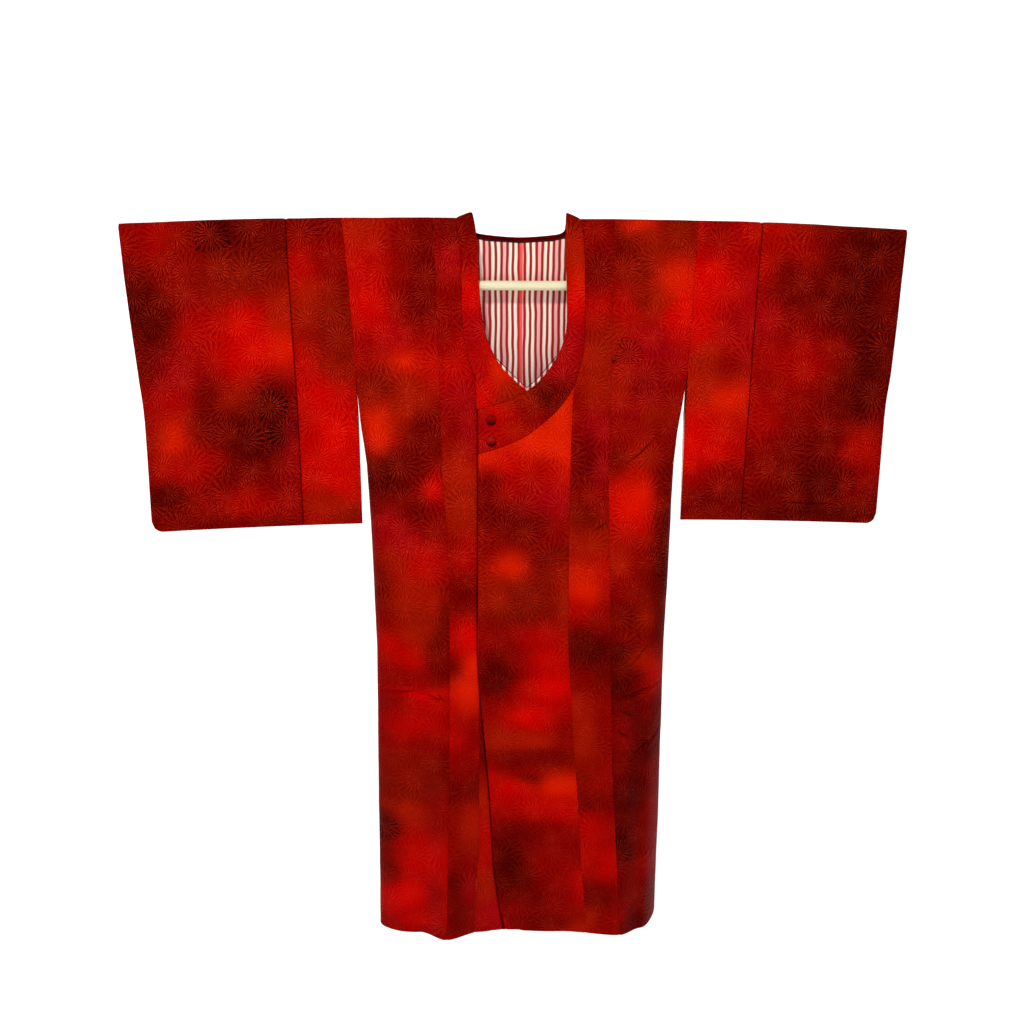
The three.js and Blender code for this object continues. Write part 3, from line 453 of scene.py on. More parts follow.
        (705, 431, 20, 17, Dye.SCARLET), (691, 452, 11, 22, Dye.SCARLET),
        (721, 456, 13, 11, Dye.SCARLET), (738, 441, 8, 16, Dye.RED), (715, 481, 24, 12, Dye.DEEP),
        (700, 506, 17, 11, Dye.MAROON), (736, 500, 12, 16, Dye.MAROON),
    ),
    "sleeve_left_outer": (
        (776, 235, 15, 14, Dye.RED), (801, 251, 19, 14, Dye.RED), (765, 266, 11, 16, Dye.RED),
        (790, 291, 21, 23, Dye.MAROON), (830, 240, 20, 16, Dye.MAROON), (871, 240, 34, 21, Dye.NIGHT),
        (861, 291, 24, 34, Dye.NIGHT), (825, 291, 17, 22, Dye.MAROON), (887, 302, 12, 18, Dye.MAROON),
        (765, 321, 13, 18, Dye.CRIMSON), (800, 331, 18, 13, Dye.DEEP), (801, 366, 28, 19, Dye.RED),
        (768, 381, 13, 15, Dye.DEEP), (836, 351, 15, 14, Dye.DEEP), (868, 357, 21, 36, Dye.NIGHT),
        (860, 402, 17, 17, Dye.NIGHT), (765, 421, 15, 17, Dye.RED), (800, 410, 18, 14, Dye.DEEP),
        (830, 411, 18, 15, Dye.MAROON), (790, 461, 24, 18, Dye.MAROON), (759, 461, 11, 16, Dye.DEEP),
        (825, 441, 16, 13, Dye.MAROON), (820, 481, 19, 17, Dye.NIGHT), (861, 451, 18, 20, Dye.RED),
        (851, 481, 14, 11, Dye.DEEP), (790, 501, 18, 10, Dye.MAROON), (760, 506, 15, 9, Dye.MAROON),
        (820, 515, 58, 8, Dye.NIGHT), (868, 505, 12, 10, Dye.MAROON),
    ),
    "collar_right": (
        (466, 230, 10, 20, Dye.MAROON), (468, 262, 10, 16, Dye.DEEP), (472, 296, 10, 22, Dye.SCARLET),
        (476, 330, 10, 20, Dye.CRIMSON), (484, 355, 12, 14, Dye.RED), (498, 376, 14, 10, Dye.ORANGE),
        (512, 392, 14, 10, Dye.RUST), (484, 393, 8, 14, Dye.SCARLET), (480, 376, 8, 10, Dye.CRIMSON),
    ),
    "overlap_right": (
        (484, 398, 12, 16, Dye.SCARLET), (481, 704, 6, 14, Dye.DEEP), (483, 752, 8, 20, Dye.MAROON),
        (487, 805, 8, 24, Dye.RUST), (487, 850, 10, 22, Dye.RED), (493, 888, 10, 18, Dye.RUST),
        (498, 916, 12, 12, Dye.CRIMSON),
    ),
    "collar_left": (
        (574, 228, 10, 16, Dye.BROWN), (577, 258, 10, 14, Dye.RUST), (578, 284, 8, 14, Dye.ORANGE),
        (577, 304, 10, 16, Dye.SCARLET), (571, 340, 12, 20, Dye.CRIMSON),
        (558, 372, 14, 14, Dye.CRIMSON), (545, 396, 16, 13, Dye.NIGHT), (560, 388, 8, 10, Dye.MAROON),
        (518, 398, 14, 10, Dye.RUST), (506, 425, 20, 14, Dye.RED), (494, 414, 10, 8, Dye.SCARLET),
        (516, 432, 10, 8, Dye.RUST), (524, 424, 12, 12, Dye.DEEP), (488, 408, 8, 8, Dye.RUST),
        (500, 441, 16, 8, Dye.RED), (486, 430, 6, 12, Dye.CRIMSON),
    ),
}

# Middles of the dark flowers on each panel, across and down in the same units.
FULL_FLOWERS: dict[str, tuple[tuple[float, float], ...]] = {
    "sleeve_right_outer": ((215, 237), (268, 410), (276, 432)),
    "front_right_side": ((422, 515), (389, 842)),
    "overlap_left": ((487, 489), (536, 792)),
    "front_left_side": ((637, 362), (612, 844)),
    "sleeve_left_inner": ((732, 372),),
    "sleeve_left_outer": ((835, 490),),
    "front_right_middle": ((452, 669),),
}

# Creases: panel, x and depth of each end, width and height. A low height is a dent.
CREASES: tuple[tuple[str, float, float, float, float, float, float], ...] = (
    ("front_right_side", -246, 777, -160, 779, 4.4, -1.7),
    ("front_right_side", -175, 780, -132, 795, 3.2, -1.4),
    ("front_right_side", -150, 770, -128, 800, 3.0, 1.2),
    ("front_right_side", -245, 884, -140, 882, 5.0, 0.5),
    ("front_right_side", -205, 812, -150, 838, 4.0, 0.5),
    ("overlap_right", -124, 790, -96, 783, 3.2, -1.4),
    ("overlap_right", -112, 906, -94, 899, 3.2, -1.4),
    ("front_left_side", 147, 405, 222, 340, 4.0, 1.7),
    ("front_left_middle", 106, 509, 138, 485, 3.6, 1.1),
    ("front_left_side", 165, 748, 216, 688, 5.0, 1.5),
    ("front_left_side", 148, 796, 236, 772, 3.6, -1.5),
    ("front_left_side", 152, 806, 205, 832, 4.0, 0.9),
    ("front_left_side", 150, 849, 184, 866, 3.4, -1.2),
    ("front_left_side", 172, 908, 236, 858, 5.0, -1.3),
    ("front_left_side", 150, 790, 190, 748, 4.0, 0.8),
    ("front_left_side", 204, 1097, 232, 1074, 4.0, 0.8),
    ("front_left_middle", 122, 935, 145, 962, 3.0, 0.7),
    ("sleeve_right_inner", -355, 446, -282, 440, 4.5, 0.7),
    ("sleeve_right_outer", -590, 455, -400, 448, 4.5, 0.8),
    ("sleeve_left_inner", 280, 462, 365, 455, 4.5, 0.6),
    ("sleeve_left_outer", 385, 452, 590, 449, 4.5, 0.9),
)

# Nodes of the two buttons.
BUTTONS = ("button_upper", "button_lower")
# A distance, in mm, that stands for far from any seam or crease.
FAR = 99.0
# Rows of cloth over a quarter of the shoulder fold.
FOLD_ROWS = 9


# ---- The cut ---------------------------------------------------------------


@dataclass(frozen=True)
class Cut:
    """Shape of the hanging coat, shared by all its pieces.

    Its fields repeat the driving sizes of the solids.
    """

    coat_length: float = 1223
    sleeve_drop: float = 489
    armhole: float = 235
    cuff_opening: float = 230
    cuff_closes: float = 60
    cuff_blend: float = 70
    sleeve_taper: float = 1.5
    side_slit_end: float = 370
    bar_drop: float = 104
    wall: float = 1.4
    lining_wall: float = 1.2
    band_wall: float = 2.0
    band_proud: float = 0.6
    seam_gap: float = 0.3
    lap_lift: float = 2.6
    lap_fade_x: tuple[float, float] = (80, 150)
    lap_fade_depth: tuple[float, float] = (60, 250)
    rod_radius: float = 7.5
    fold_radius: float = 9.4
    arm_reach: float = 598
    upright_x: float = 95
    rod_bend: float = 24
    shoulder_bow: float = 12.5
    bow_from: float = 150
    bow_to: float = 628
    collar_raise: float = 9
    collar_raise_ends: float = 60
    front_fullness: tuple[float, float, float] = (17, 15, 350)
    back_fullness: tuple[float, float, float] = (12, 15, 180)
    hem_from: float = 260
    sleeve_blend: float = 80
    round_grows_from: float = 400
    side_round: tuple[float, float] = (26, 45)
    round_from: float = 0.6
    sleeve_corner: float = 18
    sleeve_corner_from: float = 0.925
    hem_corner: float = 37
    hem_corner_from: float = 0.75
    hem_corner_power: float = 2.2
    lining_depth: float = 320
    lining_setback: float = 4
    lip_shown: float = 7
    lip_hidden: float = 12
    neck_middle_depth: float = 150

    @property
    def quarter(self) -> float:
        """Length of cloth over a quarter of the fold."""
        return self.fold_radius * math.pi / 2

    def at_fold(self, down: Array) -> tuple[Array, Array]:
        """Finds a place down the cloth at the fold.

        Args:
            down: Distances along the cloth from the fold's top, not negative.

        Returns:
            Depth, and share of the fold's half width.
        """
        angle = np.minimum(down / self.fold_radius, math.pi / 2)
        below = np.maximum(down - self.quarter, 0)
        return self.fold_radius * (1 - np.cos(angle)) + below, np.sin(angle)

    def down_at(self, depth: Any) -> Array:
        """Gives the place down the cloth at a depth."""
        share = np.clip(1 - np.asarray(depth, float) / self.fold_radius, 0, 1)
        below = np.maximum(np.asarray(depth, float) - self.fold_radius, 0)
        return self.fold_radius * np.arccos(share) + below

    def height_at(self, x: Array, depth: Array) -> Array:
        """Gives the height of the cloth at x and depth, under the bowed shoulder."""
        share = np.maximum(np.abs(x) - self.bow_from, 0) / (self.bow_to - self.bow_from)
        return self.bar_drop - self.shoulder_bow * share**2 - depth

    def sleeve_half(self, side: Side, x: Array, depth: Array) -> Array:
        """Gives half the thickness of a sleeve's bag.

        Args:
            side: Which sleeve.
            x: Distances across, of either sign.
            depth: Depths below the fold.

        Returns:
            Distances from the middle plane to the outer face.
        """
        outer = column(SLEEVE_EDGES[side.key], 3, depth)
        lower = np.clip(depth / self.sleeve_drop, 0, 1) ** self.sleeve_taper
        closing = np.cos(math.pi / 2 * lower)
        sewn = ramp(self.cuff_opening, self.cuff_opening + self.cuff_closes, depth)
        near_cuff = 1 - ramp(0, self.cuff_blend, outer - np.abs(x))
        return self.wall + (self.fold_radius - self.wall) * closing * (1 - sewn * near_cuff)

    def side_closed(self, depth: Array) -> Array:
        """Gives 0 at the armhole, where front and back part, and 1 at the side seam."""
        return ramp(self.armhole, self.side_slit_end, depth)

    def reach(self, side: Side, depth: Array) -> Array:
        """Gives the distance of the body's edge from the middle."""
        upper = column(SLEEVE_EDGES[side.key], 1, depth)
        lower = column(BODY_SIDES[side.key], 1, depth)
        return np.where(depth <= self.armhole, upper, lower) - self.seam_gap

    def body_out(self, side: Side, face: Face, x: Array, depth: Array) -> Array:
        """Gives how far the front or back stands out from the middle plane.

        Args:
            side: Which half of the body.
            face: Front or back.
            x: Distances across.
            depth: Depths below the fold.

        Returns:
            Distances to the outer face.
        """
        fullness = self.front_fullness if face is Face.FRONT else self.back_fullness
        upper = self.fold_radius + fullness[0] * ramp(fullness[1], fullness[2], depth)
        hem = eased(FRONT_HEM if face is Face.FRONT else BACK_HEM, x)
        out = mix(upper, hem, ramp(self.hem_from, self.coat_length, depth))
        reach = self.reach(side, depth)
        share = np.clip((np.abs(x) - reach + self.sleeve_blend) / self.sleeve_blend, 0, 1)
        to_sleeve = smooth(share) * (1 - self.side_closed(depth))
        return mix(out, self.sleeve_half(side, reach, depth), to_sleeve)

    def body_point(
        self, side: Side, face: Face, x: Array, down: Array, out: Any = 0.0
    ) -> Array:
        """Places points on a body panel.

        Args:
            side: Which half of the body.
            face: Front or back.
            x: Distances across, signed.
            down: Distances along the cloth, not negative.
            out: How far beyond the outer face.

        Returns:
            Points, on a last axis of three.
        """
        depth, share = self.at_fold(down)
        lift = out + np.zeros_like(x)
        if face is Face.FRONT and side is Side.LEFT:
            over = 1 - ramp(*self.lap_fade_x, x)
            lift = lift + self.lap_lift * over * ramp(*self.lap_fade_depth, depth)
        y = face.value * share * (self.body_out(side, face, x, depth) + lift)
        up = lift * np.sqrt(np.maximum(1 - share**2, 0))
        return np.stack([x, y, self.height_at(x, depth) + up], axis=-1)

    def side_point(
        self, side: Side, face: Face, inner: Array, u: Array, down: Array
    ) -> Array:
        """Places points on a side panel.

        Args:
            side: Which half of the body.
            face: Front or back.
            inner: x of the panel's inner seam, towards its own side.
            u: 0 at the inner seam and 1 at the side seam.
            down: Distances along the cloth, not negative.

        Returns:
            Points, on a last axis of three.
        """
        depth, share = self.at_fold(down)
        reach = self.reach(side, depth)
        closed = self.side_closed(depth)
        growth = ramp(self.round_grows_from, self.coat_length, depth)
        rounding = mix(*self.side_round, growth)
        turn = np.maximum(u - self.round_from, 0) / (1 - self.round_from)
        angle = turn * math.pi / 2
        flat = mix(inner, reach - rounding, np.minimum(u / self.round_from, 1))
        x = mix(mix(inner, reach, u), flat + rounding * np.sin(angle), closed)
        fullness = mix(1.0, np.cos(angle), closed)
        behind = column(BODY_SIDES[side.key], 2, np.maximum(depth, self.armhole))
        point = self.body_point(side, face, side.value * x, down)
        point[..., 1] = mix(behind * share, point[..., 1], fullness)
        return point


@dataclass(frozen=True)
class Sight:
    """The camera's view of the coat, which carries places in its picture to the cloth.

    Attributes:
        eye: Where the camera stands, in metres.
        pitch: Its tilt from straight down, in degrees.
        yaw: Its turn about the vertical, in degrees.
        lens: Its focal length, in mm.
        sensor: Width of its sensor, in mm.
        picture: Width and height of the picture, in its own units.
        sleeve_y: Place of the sleeves' face along Y, in mm.
        body_y: Place of the body's face along Y, in mm, down to each height in the picture.
    """

    eye: tuple[float, float, float] = (-0.12403, -1.6, -0.08668)
    pitch: float = 80.0
    yaw: float = -3.735
    lens: float = 34.23
    sensor: float = 36.0
    picture: float = 1024
    sleeve_y: float = -8
    body_y: tuple[tuple[float, float], ...] = ((330, -18), (600, -30), (1024, -34))

    @property
    def turn(self) -> Euler:
        """The camera's rotation."""
        return Euler((math.radians(self.pitch), 0, math.radians(self.yaw)))

    def on_plane(self, across: float, down: float, y: float) -> tuple[float, float]:
        """Gives x and z, in mm, of what is seen on the upright plane at y."""
        focal = self.picture * self.lens / self.sensor
        middle = self.picture / 2
        ray = Vector(((across - middle) / focal, (middle - down) / focal, -1))
        ray.rotate(self.turn)
        reach = (y * MM - self.eye[1]) / ray.y
        return (self.eye[0] + reach * ray.x) / MM, (self.eye[2] + reach * ray.z) / MM

    def on_cloth(self, panel: str, across: float, down: float) -> tuple[float, float, float]:
        """Finds a place of the picture on a panel.

        Args:
            panel: Name of the panel.
            across: Place across the picture.
            down: Place down the picture.

        Returns:
            Its x and depth, and the mm that a unit of the picture spans there.
        """
        y = next(face for end, face in self.body_y if down <= end)
        if "sleeve" in panel:
            y = self.sleeve_y
        x, z = self.on_plane(across, down, y)
        return x, float(Cut().height_at(x, 0)) - z, self.on_plane(across + 1, down, y)[0] - x


# ---- Materials -------------------------------------------------------------


class Recipe:
    """A material's nodes, added by short steps that each give an output."""

    def __init__(self, name: str) -> None:
        """Starts a material with no nodes.

        Args:
            name: Name of the material.
        """
        self.material = bpy.data.materials.new(name)
        self.material.use_nodes = True
        self.tree = self.material.node_tree
        self.tree.nodes.clear()

    def add(self, kind: str, inputs: dict[int | str, Any], **settings: str) -> bpy.types.Node:
        """Adds a node with its settings and links.

        Args:
            kind: Blender's name of the node, without ShaderNode.
            inputs: A value, or another node's output to link, for each input.
            settings: The node's own options.

        Returns:
            The new node.
        """
        made = self.tree.nodes.new("ShaderNode" + kind)
        for name, value in settings.items():
            setattr(made, name, value)
        for key, value in inputs.items():
            if isinstance(value, bpy.types.NodeSocket):
                self.tree.links.new(value, made.inputs[key])
            else:
                made.inputs[key].default_value = value
        return made

    def maths(self, operation: str, *values: Any) -> Socket:
        """Works out a number from other numbers."""
        return self.add("Math", dict(enumerate(values)), operation=operation).outputs[0]

    def vector(self, operation: str, *values: Any) -> Socket:
        """Works out a vector, or a length, from vectors."""
        made = self.add("VectorMath", dict(enumerate(values)), operation=operation)
        return made.outputs["Value" if operation == "LENGTH" else "Vector"]

    def mapped(self, value: Any, low: Any, high: Any, first: float, last: float) -> Socket:
        """Turns the range from low to high into the one from first to last."""
        inputs = dict(enumerate((value, low, high, first, last)))
        return self.add("MapRange", inputs).outputs[0]

    def eased(self, value: Any, low: Any, high: Any, first: float, last: float) -> Socket:
        """Does the same with a smooth step."""
        inputs = dict(enumerate((value, low, high, first, last)))
        return self.add("MapRange", inputs, interpolation_type="SMOOTHSTEP").outputs[0]

    def blend(self, share: Any, under: Any, code: str, way: str = "MIX") -> Socket:
        """Lays a colour over another.

        Args:
            share: How much of it is laid on.
            under: The colour below.
            code: The colour above, as an sRGB hex value.
            way: Blender's name of the way to blend.

        Returns:
            The blended colour.
        """
        inputs = {0: share, 6: under, 7: rgba(code)}
        return self.add("Mix", inputs, data_type="RGBA", blend_type=way).outputs[2]

    def attribute(self, name: str, output: str = "Fac") -> Socket:
        """Reads an attribute of the mesh."""
        return self.add("Attribute", {}, attribute_name=name).outputs[output]

    def cloth_map(self) -> Socket:
        """Reads the place on the flat cloth, in metres."""
        return self.add("UVMap", {}, uv_map="cloth").outputs[0]

    def place(self) -> Socket:
        """Reads the place in the object's own frame, in metres."""
        return self.add("TexCoord", {}).outputs["Object"]

    def parts(self, vector: Socket) -> Any:
        """Splits a vector into its three numbers."""
        return self.add("SeparateXYZ", {0: vector}).outputs

    def noise(self, place: Socket, scale: float, detail: float, flat: bool = False) -> Any:
        """Adds noise and gives its outputs, the plain value first."""
        inputs = {"Vector": place, "Scale": scale, "Detail": detail}
        return self.add("TexNoise", inputs, noise_dimensions="2D" if flat else "3D").outputs

    def bump(self, height: Socket, strength: float, distance: float = 0.0003) -> Socket:
        """Turns a height into a fine relief of the surface."""
        inputs = {"Strength": strength, "Distance": distance, "Height": height}
        return self.add("Bump", inputs).outputs[0]

    def finish(self, inputs: dict[str, Any]) -> bpy.types.Material:
        """Ends the material in one surface.

        Args:
            inputs: Inputs of the surface shader.

        Returns:
            The material.
        """
        shader = self.add("BsdfPrincipled", inputs)
        self.add("OutputMaterial", {"Surface": shader.outputs[0]})
        return self.material


@dataclass(frozen=True)
class FiguredSilk:
    """Figured silk satin, woven with chrysanthemums and cloud-dyed by hand.

    The figure is satin on a matt ground, so petal outlines catch a little more light:
    their lighter rust colour is painted sheen, and the grooves between petals get painted shade.
    """

    name: str = "figured_silk"
    flower_mm: float = 45.0
    flowers_shifted: float = 0.62
    petals: int = 20
    # Hand-drawn petals waver by about half a millimetre.
    waver: float = 0.0042
    waver_scale: float = 210.0
    full_reach_mm: float = 21.0
    full_shade: str = "B4A0A0"
    # A woven petal line is about 0.5 mm; its soft edge makes it twice as wide.
    line_mm: float = 0.6
    line_share_of_petal: float = 0.26
    fork_mm: float = 9.5
    fork_end_mm: float = 19.95
    fork_gap_mm: float = 1.25
    tip_gap_mm: float = 1.0
    tip_fade_mm: float = 2.6
    eye_mm: float = 1.9
    tip_softness: float = 2.2
    line_strength: float = 0.78
    line_colour: str = "8C2210"
    groove_shade: float = 0.24
    groove_colour: str = "A89090"
    seam_mm: float = 2.2
    seam_shade: float = 0.85
    seam_colour: str = "6A1818"
    # Heights between which the figure fades towards the hem, in metres.
    fades: tuple[float, float] = (-0.4, -0.62)
    faded_to: float = 0.6
    # Silk threads lie 0.1 mm apart; the slub noise is coarser, so that it shows.
    slub_scale: float = 900.0
    slub: float = 0.8
    roughness: float = 0.56

    def build(self) -> bpy.types.Material:
        """Makes the material from the cloth map and the cloth's attributes."""
        recipe = Recipe(self.name)
        maths = recipe.maths
        cloth = recipe.cloth_map()
        drawn = self.wavered(recipe, cloth)
        layout = {"Vector": drawn, "Scale": 1 / (self.flower_mm * MM)}
        layout["Randomness"] = self.flowers_shifted
        cells = recipe.add("TexVoronoi", layout, voronoi_dimensions="2D", feature="F1")
        edges = recipe.add(
            "TexVoronoi", layout, voronoi_dimensions="2D", feature="DISTANCE_TO_EDGE"
        )
        petal = recipe.vector("SUBTRACT", drawn, cells.outputs["Position"])
        turned = recipe.parts(cells.outputs["Color"])[0]
        edge = maths("MULTIPLY", edges.outputs["Distance"], self.flower_mm)
        figure, groove = self.petal_lines(recipe, petal, turned, edge)
        # The figure's lines, with their painted sheen and their gloss, are stronger
        # in some places than in others.
        patchy = recipe.noise(cloth, 24.0, 2.0, flat=True)[0]
        strength = recipe.mapped(patchy, 0.3, 0.72, 0.35, 1.15)
        # Towards the hem the painted sheen of the lines and the painted shade
        # of the grooves fade.
        level = recipe.parts(recipe.place())[2]
        faded = recipe.mapped(level, *self.fades, 1.0, self.faded_to)
        line = maths("MULTIPLY", figure, maths("MULTIPLY", strength, faded))
        groove_shade_share = maths("MULTIPLY", maths("MULTIPLY", groove, self.groove_shade), faded)
        # A flower is a full one where its eye lies near a marked place.
        mark = recipe.attribute("full_flower", "Vector")
        eye_apart = recipe.vector("LENGTH", recipe.vector("SUBTRACT", mark, petal))
        full = maths("LESS_THAN", eye_apart, self.full_reach_mm * MM)
        full_petal = maths("MULTIPLY", full, groove)
        dye = recipe.attribute("dye", "Color")
        colour = recipe.blend(full_petal, dye, self.full_shade, "MULTIPLY")
        # Painted sheen: the petal lines are lightened with a rust colour.
        line_sheen_share = maths("MULTIPLY", line, self.line_strength)
        colour = recipe.blend(line_sheen_share, colour, self.line_colour, "ADD")
        # Painted shade in the grooves between petals.
        colour = recipe.blend(groove_shade_share, colour, self.groove_colour, "MULTIPLY")
        # Painted shade: darker near seams, on the shaded side of creases and wherever else the seam
        # attribute marks it.
        sewn = recipe.eased(recipe.attribute("seam"), 0.0, self.seam_mm, self.seam_shade, 0.0)
        colour = recipe.blend(sewn, colour, self.seam_colour, "MULTIPLY")
        slub = recipe.noise(cloth, self.slub_scale, 2.0, flat=True)[0]
        height = maths("MULTIPLY_ADD", slub, self.slub, maths("SUBTRACT", figure, groove))
        gloss = recipe.mapped(line, 0.0, 1.0, self.roughness + 0.05, self.roughness - 0.12)
        return recipe.finish(
            {
                "Base Color": colour,
                "Roughness": gloss,
                "Specular IOR Level": 0.02,
                "Specular Tint": rgba("FF3828"),
                "Normal": recipe.bump(height, 0.35),
            }
        )

    def wavered(self, recipe: Recipe, cloth: Socket) -> Socket:
        """Shifts places on the cloth a little, as a hand-drawn figure is."""
        noise = recipe.noise(cloth, self.waver_scale, 1.0, flat=True)["Color"]
        centred = recipe.vector("SUBTRACT", noise, (0.5, 0.5, 0.5))
        inputs = {0: centred, "Scale": self.waver}
        shift = recipe.add("VectorMath", inputs, operation="SCALE").outputs[0]
        return recipe.vector("ADD", cloth, shift)

    def petal_lines(
        self, recipe: Recipe, petal: Socket, turned: Socket, edge: Socket
    ) -> tuple[Socket, Socket]:
        """Draws the outlines of the petals.

        Args:
            recipe: The material.
            petal: Place from the flower's eye, in metres.
            turned: How far the flower is turned, in petals.
            edge: Distance from the neighbouring flowers, in mm.

        Returns:
            1 on the lines, and 1 between them.
        """
        maths = recipe.maths
        split = recipe.parts(petal)
        angle = maths("ARCTAN2", split[1], split[0])
        reach = maths("MULTIPLY", recipe.vector("LENGTH", petal), 1 / MM)
        turn = 2 * math.pi / self.petals
        count = maths("MULTIPLY_ADD", angle, 1 / turn, turned)
        aside = maths("MULTIPLY_ADD", maths("PINGPONG", count, 0.5), -1.0, 0.5)
        pitch = maths("MULTIPLY", reach, turn)
        side = maths("MULTIPLY", aside, pitch)
        # Neighbouring petals share one line near the eye and part further out.
        parted = recipe.mapped(reach, self.fork_mm, self.fork_end_mm, 0.0, self.fork_gap_mm)
        petal_side = maths("SUBTRACT", side, parted)
        petal_tip = maths("SUBTRACT", edge, self.tip_gap_mm)
        inside = maths("SMOOTH_MIN", petal_side, petal_tip, self.tip_softness)
        # Petals narrow towards the eye, and their lines grow finer with them.
        narrow = maths("MULTIPLY", pitch, self.line_share_of_petal)
        width = maths("MINIMUM", narrow, self.line_mm)
        from_line = maths("DIVIDE", maths("ABSOLUTE", inside), width)
        petal_line = recipe.eased(from_line, 0.3, 1.1, 1.0, 0.0)
        from_ring = maths("ABSOLUTE", maths("SUBTRACT", reach, self.eye_mm))
        ring = recipe.eased(from_ring, 0.3, 0.9, 1.0, 0.0)
        beyond_eye = recipe.mapped(reach, self.eye_mm - 0.4, self.eye_mm, 0.0, 1.0)
        # Petal tips of neighbouring flowers fade where they meet.
        near_tip = recipe.mapped(edge, 0.4, self.tip_fade_mm, 0.3, 1.0)
        open_line = maths("MULTIPLY", maths("MULTIPLY", petal_line, near_tip), beyond_eye)
        groove = recipe.eased(from_line, 0.7, 1.7, 0.0, 1.0)
        return maths("MAXIMUM", open_line, ring), groove


@dataclass(frozen=True)
class StripedLining:
    """Smooth silk lining, woven in cream and pink with red stripes.

    It is thin and plain woven, so it looks softer and paler than the silk outside.
    """

    name: str = "striped_lining"
    pitch_mm: float = 9.4
    stripe_mm: float = 4.5
    stripe_softness: float = 0.08
    cream: str = "FFF0DC"
    pink: str = "F6B2AC"
    red: str = "A4161C"
    bright: str = "F03A30"
    bright_at: float = -0.0045
    rolled_edge: str = "1E0203"
    roughness: float = 0.6

    def build(self) -> bpy.types.Material:
        """Makes the material from the cloth map."""
        recipe = Recipe(self.name)
        maths = recipe.maths
        cloth = recipe.cloth_map()
        across = maths("MULTIPLY", recipe.parts(cloth)[0], 1 / (self.pitch_mm * MM))
        half, soft = self.stripe_mm / self.pitch_mm / 2, self.stripe_softness
        stripe = maths("PINGPONG", across, 0.5)
        red = recipe.eased(stripe, half - soft, half + soft, 1.0, 0.0)
        pink = recipe.eased(maths("PINGPONG", across, 1.5), 0.35, 1.1, 0.0, 1.0)
        colour = recipe.blend(pink, rgba(self.cream), self.pink)
        colour = recipe.blend(red, colour, self.red)
        # One stripe near the middle is woven in a brighter red.
        x = recipe.parts(recipe.place())[0]
        from_bright = maths("ABSOLUTE", maths("SUBTRACT", x, self.bright_at))
        brighter = recipe.eased(from_bright, 0.002, 0.0036, 0.85, 0.0)
        colour = recipe.blend(brighter, colour, self.bright)
        # Painted shade along the top edge: the coat's silk rolls over it there, and it is
        # painted near black where it turns inwards into shadow.
        shaded_edge = recipe.eased(recipe.attribute("seam"), 0.0, 1.0, 1.0, 0.0)
        return recipe.finish(
            {
                "Base Color": recipe.blend(shaded_edge, colour, self.rolled_edge),
                "Roughness": self.roughness,
                "Sheen Weight": 0.04,
                "Specular IOR Level": 0.15,
                "Normal": recipe.bump(recipe.noise(cloth, 500.0, 3.0, flat=True)[0], 0.3),
            }
        )


@dataclass(frozen=True)
class CoveredButtonSilk:
    """Figured silk drawn tight over a button form.

    Stretched satin shines a little more than the loose cloth around it.
    """

    name: str
    bright: str
    dark: str = "300002"
    roughness: float = 0.42

    def build(self) -> bpy.types.Material:
        """Makes the material on object coordinates."""
        recipe = Recipe(self.name)
        place = recipe.place()
        petals = recipe.add(
            "TexWave", {"Vector": place, "Scale": 160.0, "Distortion": 3.0, "Detail": 1.0},
            wave_type="BANDS", bands_direction="DIAGONAL",
        ).outputs[1]
        clouds = recipe.noise(place, 45.0, 2.0)[0]
        share = recipe.maths("MULTIPLY_ADD", petals, 0.3, clouds)
        # Painted shade: the dome attribute darkens the button's lower side towards the dark colour.
        lit_pattern = recipe.maths("MULTIPLY", share, recipe.attribute("dome"))
        held = recipe.mapped(lit_pattern, 0.2, 0.8, 0.0, 1.0)
        return recipe.finish(
            {
                "Base Color": recipe.blend(held, rgba(self.dark), self.bright),
                "Roughness": self.roughness,
                "Specular IOR Level": 0.12,
                "Specular Tint": rgba("FF6050"),
                "Normal": recipe.bump(petals, 0.3),
            }
        )


@dataclass(frozen=True)
class CreamTube:
    """Extruded cream plastic tube, smooth and softly glossy with faint draw lines."""

    name: str = "cream_plastic_tube"
    colour: str = "F2EBC6"
    shade: str = "E4D9AE"
    grain: tuple[float, float, float] = (12.0, 260.0, 260.0)
    roughness: float = 0.38

    def build(self) -> bpy.types.Material:
        """Makes the material on object coordinates."""
        recipe = Recipe(self.name)
        along = recipe.add("Mapping", {"Vector": recipe.place(), "Scale": self.grain}).outputs[0]
        lines = recipe.noise(along, 1.0, 2.0)[0]
        return recipe.finish(
            {
                "Base Color": recipe.blend(lines, rgba(self.colour), self.shade),
                "Roughness": self.roughness,
                "Normal": recipe.bump(lines, 0.15, 0.0002),
            }
        )


# ---- Cloth -----------------------------------------------------------------


@dataclass
class ClothPiece:
    """One cut piece of cloth as a grid of points, ready to be made a mesh.

    Attributes:
        panel: Name of the panel in the tables.
        nodes: The solids that it replaces.
        points: The grid's points in mm.
        x: Distances across the cloth.
        down: Distances along the cloth from the fold, negative on the back.
        seam: Distances from its seams and from its other marks of painted shade.
        flat: Width and length as cut.
        shown: Mean width and length of what shows; not used.
        slot: Its finish's slot.
        face: Front or back.
        wall: Thickness.
        rests_on: The piece that carries it; not used.
        seam_softness: Distance added, so that the painted shade of a seam reads fainter.
    """

    panel: str
    nodes: tuple[str, ...]
    points: Array
    x: Array
    down: Array
    seam: Array
    flat: tuple[float, float]
    shown: tuple[float, float]
    slot: str = "coat_silk"
    face: Face = Face.FRONT
    wall: float = Cut.wall
    rests_on: str = "hanger"
    seam_softness: float = 0.0

    @property
    def name(self) -> str:
        """Name of the finished piece."""
        return f"{self.panel}_silk" if self.slot == "lining_silk" else f"silk_{self.panel}"


@dataclass
class Crease:
    """One crease as seen from the points of a piece's grid."""

    aside: Array
    fade: Array
    width: float
    rise: float


